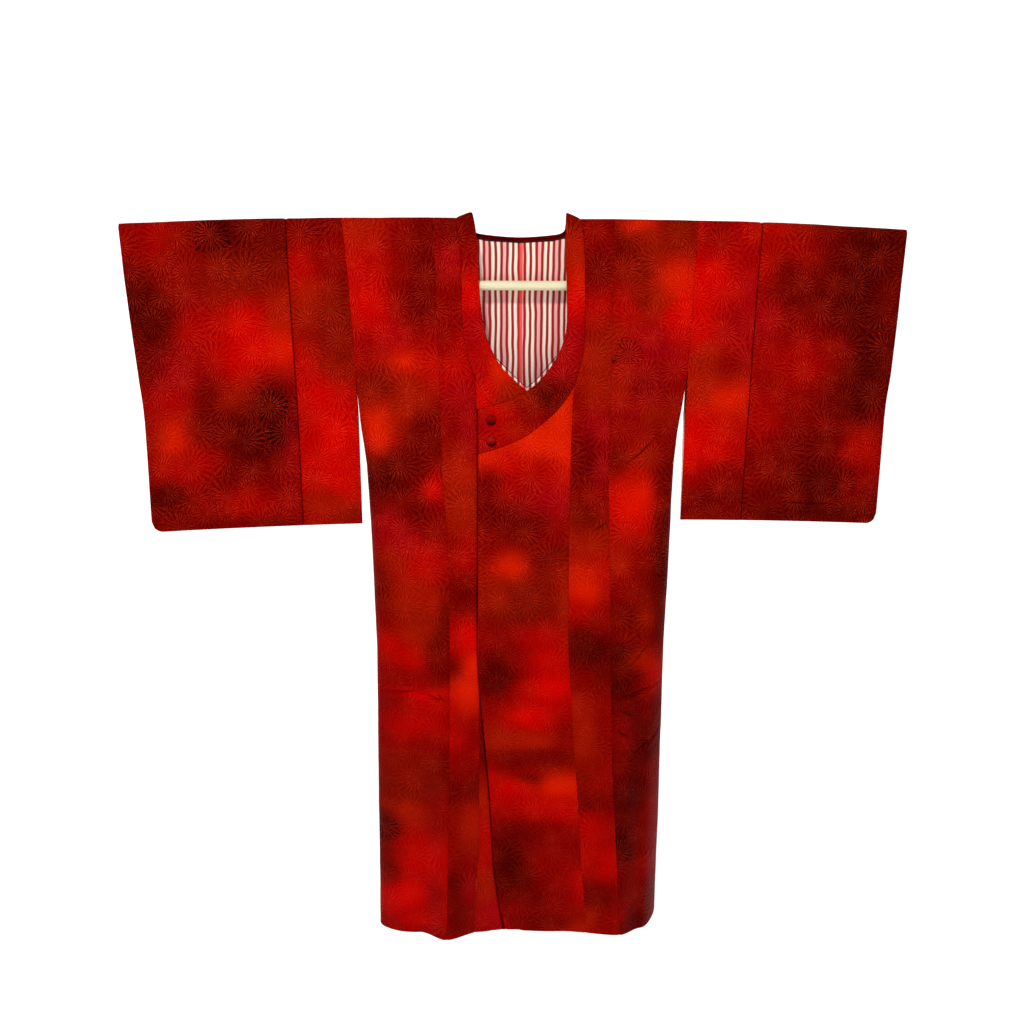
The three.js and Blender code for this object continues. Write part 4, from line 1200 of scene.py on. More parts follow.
@dataclass
class Weaver:
    """Turns cloth pieces into meshes with their map, dye and creases."""

    silk: bpy.types.Material
    lining: bpy.types.Material
    sight: Sight = Sight()
    # The camera looks down a little, so upright lengths look shorter by this factor.
    upright: float = 1.02
    base: Dye = Dye.DEEP
    base_weight: float = 0.12
    cloud_waver: float = 5.0
    cloud_edge: float = 0.62
    cloud_fall: float = 2.4
    mottle: float = 0.05
    # A piece that hangs this many mm down the back has hidden cloth, and dark flowers there.
    clouds_from: float = 60
    flowers_from: float = 200
    # Square mm of hidden cloth for each cloud and for each dark flower.
    cloud_area: float = 3000
    flower_area: float = 55000
    # Least and greatest half width and half height of a scattered cloud, in mm.
    cloud_sizes: tuple[tuple[float, float], tuple[float, float]] = ((22, 20), (48, 42))
    flower_margin: tuple[float, float] = (15, 30)
    slack: float = 0.55
    ripple: float = 0.22
    pucker: float = 0.35
    pucker_reach: float = 14
    seam_reach: float = 2.4
    crease_gain: float = 1.5
    crease_width: float = 0.62
    crease_bow: float = 0.05
    crease_tip: float = 0.04
    # Place, width and depth of the dent beside a crease, as shares of the crease's own.
    dent: tuple[float, float, float] = (1.9, 1.4, 0.7)
    crease_light: float = 0.3
    crease_slope: float = 0.5
    deep_crease: float = 0.85

    def dye(self, piece: ClothPiece) -> Array:
        """Gives the linear colour of every grid point.

        Args:
            piece: The piece to colour.

        Returns:
            An array of rows, columns and four channels.
        """
        x = piece.x + self.cloud_waver * wander(piece.x, piece.down, 60, 1.3)
        down = piece.down + self.cloud_waver * wander(piece.x, piece.down, 55, 4.7)
        total = np.full(x.shape, self.base_weight)
        colour = total[..., None] * srgb(self.base.value)
        for centre_x, depth, wide, high, dye in self.seen(piece.panel) + self.scattered(piece):
            away = ((x - centre_x) / wide) ** 2 + ((down - depth) / high) ** 2
            weight = (1 + self.cloud_edge * away) ** -self.cloud_fall
            total = total + weight
            colour = colour + weight[..., None] * srgb(dye.value)
        blended = colour / total[..., None]
        mottle = 1 + self.mottle * wander(piece.x, piece.down, 70, 8.2)
        opaque = np.ones((*x.shape, 1))
        return np.concatenate([linear(np.clip(blended * mottle[..., None], 0, 1)), opaque], -1)

    def seen(self, panel: str) -> list[Spot]:
        """Carries the clouds of a panel from the picture to the cloth."""
        spots: list[Spot] = []
        for across, down, half_width, half_height, dye in DYE_AND_SHADING_CLOUDS.get(panel, ()):
            x, depth, unit = self.sight.on_cloth(panel, across, down)
            spots.append((x, depth, half_width * unit, self.upright * half_height * unit, dye))
        return spots

    def scattered(self, piece: ClothPiece) -> list[Spot]:
        """Scatters clouds over the parts of a piece that the table leaves out.

        Args:
            piece: The piece to colour.

        Returns:
            Clouds for the back of the coat, from a fixed seed.
        """
        if piece.down.min() > -self.clouds_from:
            return []
        seed = sum(ord(letter) * (place + 3) for place, letter in enumerate(piece.panel))
        random = np.random.default_rng(seed)
        low, high = float(piece.x.min()), float(piece.x.max())
        bottom = float(piece.down.min())
        dyes = (
            Dye.RED, Dye.DEEP, Dye.CRIMSON, Dye.BROWN, Dye.MAROON, Dye.ORANGE, Dye.RED, Dye.DEEP,
        )
        count = int((high - low) * -bottom / self.cloud_area)
        spots: list[Spot] = []
        for number in range(count):
            centre = random.uniform((low, bottom), (high, -30))
            size = random.uniform(*self.cloud_sizes)
            spots.append((centre[0], centre[1], size[0], size[1], dyes[number % len(dyes)]))
        return spots

    def full_flowers(self, piece: ClothPiece) -> Array:
        """Gives each grid point's place from the nearest full flower.

        Args:
            piece: The piece to mark.

        Returns:
            Metres across and down, far away where there is no full flower.
        """
        place = np.stack([piece.x, -piece.down, np.zeros_like(piece.x)], -1) * MM
        flowers = FULL_FLOWERS.get(piece.panel, ())
        centres = [self.sight.on_cloth(piece.panel, *flower)[:2] for flower in flowers]
        if piece.down.min() < -self.flowers_from:
            seed = 7 + len(piece.panel) + int(abs(piece.x).max())
            random = np.random.default_rng(seed)
            low, high, bottom = piece.x.min(), piece.x.max(), piece.down.min()
            aside, above = self.flower_margin
            corners = (low + aside, bottom + above), (high - aside, -self.clouds_from)
            for _ in range(int((high - low) * -bottom / self.flower_area) + 1):
                centres.append(tuple(random.uniform(*corners)))
        if not centres:
            return np.ones((*piece.x.shape, 3))
        away = np.stack([place - np.array([cx, -d, 0]) * MM for cx, d in centres])
        nearest = np.argmin(np.linalg.norm(away, axis=-1), axis=0)
        return np.take_along_axis(away, nearest[None, ..., None], axis=0)[0]

    @staticmethod
    def normals(piece: ClothPiece) -> Array:
        """Gives the outward normal at every grid point."""
        across = np.gradient(piece.points, axis=1)
        downwards = np.gradient(piece.points, axis=0)
        normal = np.cross(across, downwards)
        normal /= np.maximum(np.linalg.norm(normal, axis=-1, keepdims=True), 1e-9)
        # A point well below the fold tells which way the whole piece faces.
        rows, columns = piece.x.shape
        middle = normal[int(rows * 0.8), columns // 2]
        return normal if middle[1] * piece.face.value > 0 else -normal

    def creases(self, piece: ClothPiece) -> Iterator[Crease]:
        """Finds every grid point's place from each crease of a piece."""
        for panel, x1, d1, x2, d2, wide, rise in CREASES:
            if panel != piece.panel:
                continue
            width = self.crease_width * wide
            length = math.hypot(x2 - x1, d2 - d1)
            ux, ud = (x2 - x1) / length, (d2 - d1) / length
            along = (piece.x - x1) * ux + (piece.down - d1) * ud
            share = np.clip(along / length, 0, 1)
            bowed = self.crease_bow * length * np.sin(math.pi * share)
            aside = (piece.x - x1) * -ud + (piece.down - d1) * ux - bowed
            beyond = np.maximum(np.maximum(-along, along - length), 0)
            fade = np.sin(math.pi * np.clip(share, self.crease_tip, 1 - self.crease_tip)) ** 0.6
            yield Crease(aside, fade * np.exp(-((beyond / width) ** 2)), width, rise)

    def shade_of_creases(self, piece: ClothPiece) -> Array:
        """Gives how far each grid point lies from the shaded side of a crease."""
        shade = np.full(piece.x.shape, FAR)
        for crease in self.creases(piece):
            if abs(crease.rise) > self.deep_crease:
                dark = crease.aside - math.copysign(0.8 * crease.width, crease.rise)
                away = self.crease_slope * np.abs(dark) + 3 * (1 - crease.fade)
                shade = np.minimum(shade, away + self.crease_light)
        return shade

    def relief(self, piece: ClothPiece) -> Array:
        """Gives how far creases, puckers and slack move each grid point outwards."""
        x, down = piece.x, piece.down
        slack = self.slack * wander(x, down, 120, 3.3)
        height = slack + self.ripple * wander(x, down, 46, 6.1)
        dent_at, dent_width, dent_depth = self.dent
        for crease in self.creases(piece):
            ridge = np.exp(-((crease.aside / crease.width) ** 2))
            from_dent = crease.aside - dent_at * crease.width
            dent = np.exp(-((from_dent / (dent_width * crease.width)) ** 2))
            rise = self.crease_gain * crease.rise * crease.fade
            height = height + rise * (ridge - dent_depth * dent)
        near = np.exp(-piece.seam / self.pucker_reach)
        pucker = self.pucker * wander(down, x * 0.3, 26, 2.7) * near
        return height + pucker - np.exp(-((piece.seam / self.seam_reach) ** 2))

    def weave(self, piece: ClothPiece, relief: bool = True) -> None:
        """Args:
            piece: The cut piece.
            relief: Whether creases and slack are added.
        """
        normal = self.normals(piece)
        points = piece.points
        if relief:
            points = points + normal * self.relief(piece)[..., None]
        rows, columns = piece.x.shape
        index = np.arange(rows * columns).reshape(rows, columns)
        quads = np.stack(
            [index[:-1, :-1], index[:-1, 1:], index[1:, 1:], index[1:, :-1]], -1
        ).reshape(-1, 4)
        across, downwards = points[0, 1] - points[0, 0], points[1, 0] - points[0, 0]
        if float(np.dot(np.cross(across, downwards), normal[0, 0])) < 0:
            quads = quads[:, ::-1]
        mesh = bpy.data.meshes.new(piece.name)
        flat_points = (points * MM).reshape(-1, 3)
        mesh.from_pydata(flat_points.tolist(), [], quads.tolist())
        # Each panel is cut from another place of the figured cloth.
        seed = sum(map(ord, piece.panel))
        shift = np.array([(seed * 37 % 101) / 101.0, (seed * 53 % 97) / 97.0])
        cloth = np.stack([piece.x, -piece.down], -1).reshape(-1, 2) * MM + shift
        layer = mesh.uv_layers.new(name="cloth")
        corners = np.empty(len(mesh.loops), dtype=np.int32)
        mesh.loops.foreach_get("vertex_index", corners)
        layer.data.foreach_set("uv", cloth[corners].ravel().astype(np.float32))
        self.store(mesh, "dye", "FLOAT_COLOR", "color", self.dye(piece))
        self.store(mesh, "full_flower", "FLOAT_VECTOR", "vector", self.full_flowers(piece))
        # The seam attribute marks painted shade: along seams, on the shaded side of creases and at the
        # other places that the pieces mark.
        seam = np.minimum(piece.seam + piece.seam_softness, self.shade_of_creases(piece))
        self.store(mesh, "seam", "FLOAT", "value", seam)
        mesh.update()
        made = bpy.data.objects.new(piece.name, mesh)
        bpy.context.collection.objects.link(made)
        for material in self.finishes(piece):
            mesh.materials.append(material)
        pick(made)
        shell = made.modifiers.new("wall", "SOLIDIFY")
        shell.thickness = piece.wall * MM
        shell.offset = -1.0
        shell.use_even_offset = True
        shell.material_offset = len(mesh.materials) - 1
        shell.material_offset_rim = 0
        bpy.ops.object.modifier_apply(modifier=shell.name)
        bpy.ops.object.shade_smooth_by_angle(angle=math.radians(50))
        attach(made, "root")
        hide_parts(*piece.nodes)
        width, length = piece.flat
        LOG.info("%s: %d faces", piece.name, len(made.data.polygons))

    def finishes(self, piece: ClothPiece) -> tuple[bpy.types.Material, ...]:
        """Gives a piece's outer finish, and its inner one where that differs."""
        if piece.slot == "lining_silk":
            return (self.lining,)
        return (self.silk,) if piece.slot == "collar_silk" else (self.silk, self.lining)

    @staticmethod
    def store(
        mesh: bpy.types.Mesh, name: str, kind: str, field_name: str, values: Array
    ) -> None:
        """Stores one value for every point of a mesh.

        Args:
            mesh: The mesh.
            name: Name of the attribute.
            kind: Blender's type of the attribute.
            field_name: Name of its value field.
            values: The values, point by point.
        """
        layer = mesh.attributes.new(name, kind, "POINT")
        layer.data.foreach_set(field_name, np.asarray(values, np.float32).ravel())


def pick(piece: bpy.types.Object) -> None:
    """Selects one object alone and makes it active."""
    bpy.ops.object.select_all(action="DESELECT")
    piece.select_set(True)
    bpy.context.view_layer.objects.active = piece


def spread(low: float, high: float, pitch: float) -> Array:
    """Gives even places from low to high, about a pitch apart."""
    return np.linspace(low, high, max(int(math.ceil((high - low) / pitch)), 1) + 1)


def lengths_of(name: str) -> tuple[str, str]:
    """Names both nodes of a panel that hangs from the shoulder to the hem."""
    return f"{name}_upper", f"{name}_lower"


def cloth_rows(cut: Cut, depth: float, pitch: float) -> Array:
    """Gives rows down the cloth, closer together over the fold."""
    over = np.linspace(0, cut.quarter, FOLD_ROWS + 1)[:-1]
    return np.concatenate([over, spread(cut.quarter, float(cut.down_at(depth)), pitch)])


def grid(rows: Array, columns: int) -> tuple[Array, Array]:
    """Spreads rows into a grid, with shares from 0 to 1 across."""
    down, across = np.meshgrid(rows, np.linspace(0, 1, columns), indexing="ij")
    return down, across


@dataclass
class BandLine:
    """A collar band's path, from its table."""

    cut: Cut
    rows: Sequence[tuple[float, ...]]
    edge_steps: int = 400

    def place(self, station: Array, across: Array) -> tuple[Array, Array]:
        """Finds places on the band.

        Args:
            station: Counts of table rows along the band.
            across: 0 at the neck edge and 1 at the sewn edge.

        Returns:
            x and down, both as arrays.
        """
        neck_x = spline([row[0] for row in self.rows], station)
        sewn_x = spline([row[2] for row in self.rows], station)
        neck = spline([float(self.cut.down_at(row[1])) for row in self.rows], station)
        sewn = spline([float(self.cut.down_at(row[3])) for row in self.rows], station)
        return mix(neck_x, sewn_x, across), mix(neck, sewn, across)

    def sewn_edge(self, first: float, last: float) -> tuple[Array, Array]:
        """Gives x and down along the sewn edge between two stations."""
        station = np.linspace(first, last, self.edge_steps)
        return self.place(station, np.ones_like(station))


@dataclass
class Body:
    """The fronts, the overlaps and the back."""

    cut: Cut
    weaver: Weaver
    pitch: float = 3.2
    back_pitch: float = 5.0
    side_pitch: float = 2.0
    middle_columns: int = 37
    side_columns: int = 56
    back_columns: int = 70
    overlap_grid: tuple[int, int] = (300, 50)
    seam_softness: float = 1.3
    turned_in: float = 5.0
    edge_shade_mm: float = 3.0
    edge_from: float = 300.0

    def front_inner(self, side: Side, depth: Array) -> Array:
        """Gives x of a front's inner edge, under the band and then at the overlap."""
        xs, downs = BandLine(self.cut, FRONT_BANDS[side.key]).sewn_edge(0, SEAM_ROW)
        under = np.interp(self.cut.down_at(depth), downs, xs)
        seam = column(OVERLAPS[side.key], 1, depth)
        return np.where(depth < FRONT_BANDS[side.key][SEAM_ROW][3], under, seam)

    def front_middle(self, side: Side) -> None:
        """Makes the middle panel of a front."""
        rows = cloth_rows(self.cut, self.cut.coat_length, self.pitch)
        down, u = grid(rows, self.middle_columns)
        depth, _ = self.cut.at_fold(down)
        inner = self.front_inner(side, depth)
        outer = column(INSET_SEAMS[side.key], 1, depth)
        x = side.value * mix(inner, outer, u)
        points = self.cut.body_point(side, Face.FRONT, x, down)
        seam = np.minimum(np.abs(side.value * x - inner), np.abs(outer - side.value * x))
        name = f"front_{side.key}_middle"
        self.weaver.weave(
            ClothPiece(
                name, lengths_of(name), points, x, down, self.shaded(side, x, depth, seam),
                flat=(90, 1235), shown=(float(np.mean(outer - inner)), 1228),
                seam_softness=self.seam_softness,
            )
        )

    def shaded(self, side: Side, x: Array, depth: Array, seam: Array) -> Array:
        """Marks where the left front's free edge shades the right front below it."""
        if side is Side.LEFT:
            return seam
        shade = np.abs(x - column(OVERLAPS["left"], 2, depth)) - self.edge_shade_mm
        return np.minimum(seam, np.where(depth > self.edge_from, shade, seam))

    def front_side(self, side: Side) -> None:
        """Makes the side panel of a front."""
        rows = cloth_rows(self.cut, self.cut.coat_length, self.side_pitch)
        down, u = grid(rows, self.side_columns)
        depth, _ = self.cut.at_fold(down)
        inner = column(INSET_SEAMS[side.key], 1, depth)
        points = self.cut.side_point(side, Face.FRONT, inner, u, down)
        x = points[..., 0]
        name = f"front_{side.key}_side"
        self.weaver.weave(
            ClothPiece(
                name, lengths_of(name), points, x, down, np.abs(side.value * x - inner),
                flat=(150, 1240), shown=(133, 1235), seam_softness=self.seam_softness,
            )
        )

    def overlap(self, side: Side) -> None:
        """Makes the overlap panel, hung from the crossing part of its band."""
        cut = self.cut
        line = BandLine(cut, FRONT_BANDS[side.key])
        steps_down, steps_across = self.overlap_grid
        stations = np.linspace(SEAM_ROW, len(FRONT_BANDS[side.key]) - 1, steps_across)
        top_x, top_down = line.place(stations, np.ones_like(stations))
        top, _ = cut.at_fold(top_down)
        table = OVERLAPS[side.key]
        seam_top, edge_top = column(table, 1, top), column(table, 2, top)
        inwards = (seam_top - top_x) / (seam_top - edge_top)
        corner = np.maximum((inwards - cut.hem_corner_from) / (1 - cut.hem_corner_from), 0)
        hem = cut.coat_length - cut.hem_corner * corner**cut.hem_corner_power
        v = np.linspace(0, 1, steps_down)
        depth = mix(top[None, :], hem[None, :], v[:, None])
        seam_x = column(table, 1, depth)
        plain = mix(seam_x, column(table, 2, depth), inwards[None, :])
        x = side.value * plain
        down = cut.down_at(depth)
        points = cut.body_point(side, Face.FRONT, x, down)
        name = f"overlap_{side.key}"
        self.weaver.weave(
            ClothPiece(
                name, (name,), points, x, down, self.shaded(side, x, depth, seam_x - plain),
                flat=(156, 965), shown=(150, 900), rests_on=f"silk_front_{side.key}_middle",
                seam_softness=self.seam_softness,
            )
        )

    def back(self, side: Side) -> None:
        """Makes one half of the back."""
        cut = self.cut
        rows = cloth_rows(cut, cut.coat_length, self.back_pitch)
        down, u = grid(rows, self.back_columns)
        last = len(BACK_BAND) - 1
        first = 0 if side is Side.LEFT else last
        xs, downs = BandLine(cut, BACK_BAND).sewn_edge(first, last // 2)
        # The panel's edge is turned in under the band.
        under = down + self.turned_in
        edge = np.interp(under, downs, side.value * xs)
        inner = np.where(under >= downs[-1], 0.0, np.maximum(edge, 0.0))
        points = cut.side_point(side, Face.BACK, inner, u, down)
        x = points[..., 0]
        name = f"back_{side.key}"
        self.weaver.weave(
            ClothPiece(
                name, lengths_of(name), points, x, -down, np.abs(x), flat=(285, 1240),
                shown=(272, 1235), face=Face.BACK,
            )
        )

    def build(self) -> None:
        """Makes all panels of the body."""
        for side in Side:
            self.front_middle(side)
            self.front_side(side)
            self.overlap(side)
            self.back(side)


@dataclass
class Sleeves:
    """Both sleeves, each of an inner and an outer part over the shoulder fold."""

    cut: Cut
    weaver: Weaver
    pitch: float = 4.0
    inner_columns: int = 26
    outer_columns: int = 64
    # The silk lies this far outside its solid.
    proud: float = 0.15

    def rows(self) -> Array:
        """Gives rows from the back's bottom over the fold to the front's bottom."""
        half = cloth_rows(self.cut, self.cut.sleeve_drop, self.pitch)
        return np.concatenate([-half[::-1], half[1:]])

    def point(self, side: Side, x: Array, down: Array) -> Array:
        """Places points on a sleeve; down is negative on the back."""
        depth, share = self.cut.at_fold(np.abs(down))
        y = -np.sign(down) * share * (self.cut.sleeve_half(side, x, depth) + self.proud)
        return np.stack([side.value * x, y, self.cut.height_at(x, depth)], -1)

    def inner(self, side: Side) -> None:
        """Makes the part beside the body, as far as the lengthwise seam."""
        down, u = grid(self.rows(), self.inner_columns)
        depth, _ = self.cut.at_fold(np.abs(down))
        low = column(SLEEVE_EDGES[side.key], 1, depth)
        high = column(SLEEVE_EDGES[side.key], 2, depth)
        x = mix(low, high, u)
        name = f"sleeve_{side.key}_inner"
        self.weaver.weave(
            ClothPiece(
                name, (f"{name}_front", f"{name}_back"), self.point(side, x, down),
                side.value * x, down, high - x, flat=(110, 990), shown=(97, 985),
            )
        )

    def outer(self, side: Side) -> None:
        """Makes the part from the lengthwise seam to the cuff, with its round corner."""
        cut = self.cut
        down, u = grid(self.rows(), self.outer_columns)
        turn = np.clip((u - cut.sleeve_corner_from) / (1 - cut.sleeve_corner_from), 0, 1)
        drop = cut.sleeve_corner * (1 - np.sqrt(1 - turn**2))
        own = down * (1 - drop / float(cut.down_at(cut.sleeve_drop)))
        depth, _ = cut.at_fold(np.abs(own))
        low = column(SLEEVE_EDGES[side.key], 2, depth)
        high = column(SLEEVE_EDGES[side.key], 3, depth)
        x = mix(low, high, u)
        name = f"sleeve_{side.key}_outer"
        self.weaver.weave(
            ClothPiece(
                name, (f"{name}_front", f"{name}_back"), self.point(side, x, own),
                side.value * x, own, x - low, flat=(255, 990), shown=(242, 985),
                rests_on=f"silk_sleeve_{side.key}_inner",
            )
        )

    def build(self) -> None:
        """Makes both sleeves."""
        for side in Side:
            self.inner(side)
            self.outer(side)


@dataclass
class Collar:
    """The folded bands round the neck opening."""

    cut: Cut
    weaver: Weaver
    flat_width: float = 31
    shown_width: float = 30
    columns: int = 15
    # Shares of a table row from one grid row to the next: at the fold, below it and behind.
    steps: tuple[float, float, float] = (0.08, 0.1, 0.06)
    fold_full: float = 0.7
    button_shade: float = 1.6
    dark_edge: float = 5.0
    seam_softness: float = 0.9

    def band(
        self, name: str, rows: Sequence[tuple[float, ...]], side: Side, face: Face, length: float
    ) -> None:
        """Makes one band.

        Args:
            name: Its node.
            rows: Its table.
            side: The side of the body that it lies on.
            face: Front or back.
            length: Its flat length.
        """
        cut = self.cut
        last = len(rows) - 1
        at_fold, below, behind = self.steps
        places = np.concatenate([spread(0, 1, at_fold)[:-1], spread(1, last, below)])
        if face is Face.BACK:
            places = spread(0, last, behind)
        station, across = grid(places, self.columns)
        x, down = BandLine(cut, rows).place(station, across)
        way = side.value if face is Face.FRONT else 1
        # The band is folded double, so it is round at both edges and full between.
        swell = np.sin(math.pi * across)
        full = self.fold_full * (swell**0.5 - (1 - swell) ** 8)
        points = cut.body_point(side, face, way * x, down, cut.band_proud + full)
        rise = 1 - ramp(0, cut.collar_raise_ends, down)
        points[..., 2] += cut.collar_raise * (1 - across) * rise
        # Painted shade darkens the band along its sewn edge; the back band is also painted dark along
        # its neck edge, where its inside lies in shadow.
        seam = (1 - across) * self.shown_width
        if face is Face.BACK:
            seam = np.minimum(seam, across * self.shown_width - self.dark_edge)
        # A painted shadow falls on the left band just below each button.
        if name == "collar_left":
            for node in BUTTONS:
                low, high = (np.array(corner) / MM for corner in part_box(node))
                middle, radius = (low + high) / 2, float(high[0] - low[0]) / 2
                below = points[..., 2] - middle[2] + self.button_shade
                aside = points[..., 0] - middle[0]
                seam = np.minimum(seam, np.hypot(aside, below) - radius)
        self.weaver.weave(
            ClothPiece(
                name, (name,), points, way * x, -face.value * down, seam,
                flat=(self.flat_width, length), shown=(self.shown_width, length),
                slot="collar_silk", face=face, wall=cut.band_wall,
                seam_softness=self.seam_softness,
            ),
            relief=False,
        )

    def build(self) -> None:
        """Makes all three bands."""
        for side in Side:
            self.band(f"collar_{side.key}", FRONT_BANDS[side.key], side, Face.FRONT, 470)
        self.band("collar_back", BACK_BAND, Side.LEFT, Face.BACK, 230)


@dataclass
class Lining:
    """What shows of the lining in the neck opening."""

    cut: Cut
    weaver: Weaver
    pitch: float = 3.0
    back_rows: int = 95
    back_clearance: float = 2.0
    back_edge: float = 2.0
    lip_rows: int = 9
    lip_columns: tuple[int, int] = (60, 70)
    lip_edge: float = 1.0
    lip_end: float = 8.0
    lip_taper: float = 45.0
    slack: float = 0.9
    slack_reach: float = 45.0
    wrinkle: float = 0.8

    def back(self) -> None:
        """Makes the lining behind the neck opening."""
        cut = self.cut
        reach = cut.upright_x - cut.rod_radius - self.back_clearance
        xs = spread(-reach, reach, self.pitch)
        neck = [(row[0], row[1]) for row in BACK_BAND[2:-2]][::-1]
        top = column(neck, 1, np.clip(xs, neck[0][0], neck[-1][0])) + cut.lining_setback
        v = np.linspace(0, 1, self.back_rows)
        depth = mix(top[None, :], cut.lining_depth, v[:, None])
        x = np.broadcast_to(xs[None, :], depth.shape).copy()
        down = cut.down_at(depth)
        gather = np.exp(-(depth - top[None, :]) / self.slack_reach)
        slack = self.slack * (np.sin(x / 8.1 + 1.7 * np.sin(depth / 17.0)) - 1) * gather
        out = -cut.wall - cut.seam_gap + slack
        points = cut.body_point(Side.LEFT, Face.BACK, x, down, out)
        # The cloth is drawn a little sideways where it wrinkles.
        x = x + self.wrinkle * wander(x * 1.4, depth, 34, 5.2)
        # Its top edge gets a band of painted shade, about back_edge mm wide, below the back band.
        self.weaver.weave(
            ClothPiece(
                "lining_back", ("lining_back",), points, x, -down, depth - top[None, :],
                flat=(172, 290), shown=(170, 285), slot="lining_silk", face=Face.BACK,
                wall=cut.lining_wall, rests_on="silk_collar_back",
                seam_softness=-self.back_edge,
            ),
            relief=False,
        )

    def lip(self) -> None:
        """Makes the lip of front lining above the low part of the neckline."""
        cut = self.cut
        right = BandLine(cut, FRONT_BANDS["right"])
        left = BandLine(cut, FRONT_BANDS["left"])
        on_right, on_left = self.lip_columns
        stations = np.linspace(SEAM_ROW - 1, SEAM_ROW + 1.5, on_right)
        rx, rd = right.place(stations, np.zeros_like(stations))
        stations = np.linspace(SEAM_ROW + 2, SEAM_ROW - 1, on_left)
        lx, ld = left.place(stations, np.zeros_like(stations))
        xs = np.concatenate([-rx, lx])
        depths = np.concatenate([cut.at_fold(rd)[0], cut.at_fold(ld)[0]])
        away = np.stack([xs, depths - cut.neck_middle_depth], -1)
        away /= np.linalg.norm(away, axis=-1, keepdims=True)
        along = np.append(0, np.hypot(np.diff(xs), np.diff(depths)).cumsum())
        from_end = np.minimum(along, along[-1] - along) - self.lip_end
        shown = cut.lip_shown * ramp(0, self.lip_taper, from_end) - 1
        out = mix(-shown[None, :], cut.lip_hidden, np.linspace(0, 1, self.lip_rows)[:, None])
        x = xs[None, :] + away[None, :, 0] * out
        depth = depths[None, :] + away[None, :, 1] * out
        down = cut.down_at(depth)
        points = cut.body_point(Side.RIGHT, Face.FRONT, x, down, -cut.wall - cut.seam_gap)
        # The lip's top edge gets a thin line of painted shadow.
        self.weaver.weave(
            ClothPiece(
                "lining_front", ("lining_front",), points, x, down, out + shown[None, :],
                flat=(20, 190), shown=(19, 180), slot="lining_silk", wall=cut.lining_wall,
                rests_on="silk_collar_right", seam_softness=-self.lip_edge,
            ),
            relief=False,
        )

    def build(self) -> None:
        """Makes both parts of the lining."""
        self.back()
        self.lip()


# ---- Buttons and hanger ----------------------------------------------------


@dataclass
class CoveredButton:
    """A dome button covered with silk, gathered in under its rim.

    Attributes:
        material: Its silk.
        node: The solid that it replaces.
        radius: Its radius, in mm like all its sizes.
        sides: Faces round it, and half as many from rim to top.
        belly: How far the dome goes on below its widest place.
        rim: Width of the cloth gathered in below.
        rim_rise: How far the gathered cloth is drawn up.
        dark_below: Share of the radius below the middle where its painted shade is darkest.
        darkest: How light the painted shade leaves it there, beside 1 on top.
    """

    material: bpy.types.Material
    node: str
    radius: float = 7.8
    sides: int = 40
    belly: float = 1.2
    rim: float = 1.1
    rim_rise: float = 0.3
    dark_below: float = 0.75
    darkest: float = 0.25

    def build(self) -> None:
        """Models the button with its covered rim and seats it on the band."""
        low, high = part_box(self.node)
        centre = [(low[axis] + high[axis]) / 2 for axis in range(3)]
        radius = self.radius * MM
        bpy.ops.object.select_all(action="DESELECT")
        bpy.ops.mesh.primitive_uv_sphere_add(
            segments=self.sides, ring_count=self.sides // 2, radius=radius, location=(0, 0, 0)
        )
        made = bpy.context.active_object
        made.name = f"covered_{self.node}"
        bpy.ops.object.mode_set(mode="EDIT")
        bpy.ops.mesh.select_all(action="SELECT")
        bpy.ops.mesh.bisect(
            plane_co=(0, 0, -self.belly * MM), plane_no=(0, 0, 1), use_fill=True,
            clear_inner=True,
        )
        bpy.ops.object.mode_set(mode="OBJECT")
        for face in made.data.polygons:
            face.select = face.normal.z < -0.9 and len(face.vertices) > 4
        bpy.ops.object.mode_set(mode="EDIT")
        bpy.ops.mesh.select_mode(type="FACE")
        bpy.ops.mesh.inset(thickness=self.rim * MM, depth=self.rim_rise * MM)
        bpy.ops.object.mode_set(mode="OBJECT")
        # The dome is flattened to the depth of its solid, and turned to face forwards.
        heights = [vertex.co.z for vertex in made.data.vertices]
        lowest = min(heights)
        stretch = (high[1] - low[1]) / (max(heights) - lowest)
        # Painted shade: each point is marked lighter on top of the dome and darker below, as if lit
        # from above.
        lit = []
        for vertex in made.data.vertices:
            x, y, z = vertex.co
            vertex.co = (centre[0] + x, high[1] - (z - lowest) * stretch, centre[2] + y)
            lit.append(mix(self.darkest, 1.0, min(max(y / radius + self.dark_below, 0), 1)))
        layer = made.data.attributes.new("dome", "FLOAT", "POINT")
        layer.data.foreach_set("value", lit)
        made.data.materials.append(self.material)
        pick(made)
        bpy.ops.object.shade_smooth_by_angle(angle=math.radians(60))
        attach(made, "root")
        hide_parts(self.node)
        LOG.info("%s: %d faces", made.name, len(made.data.polygons))


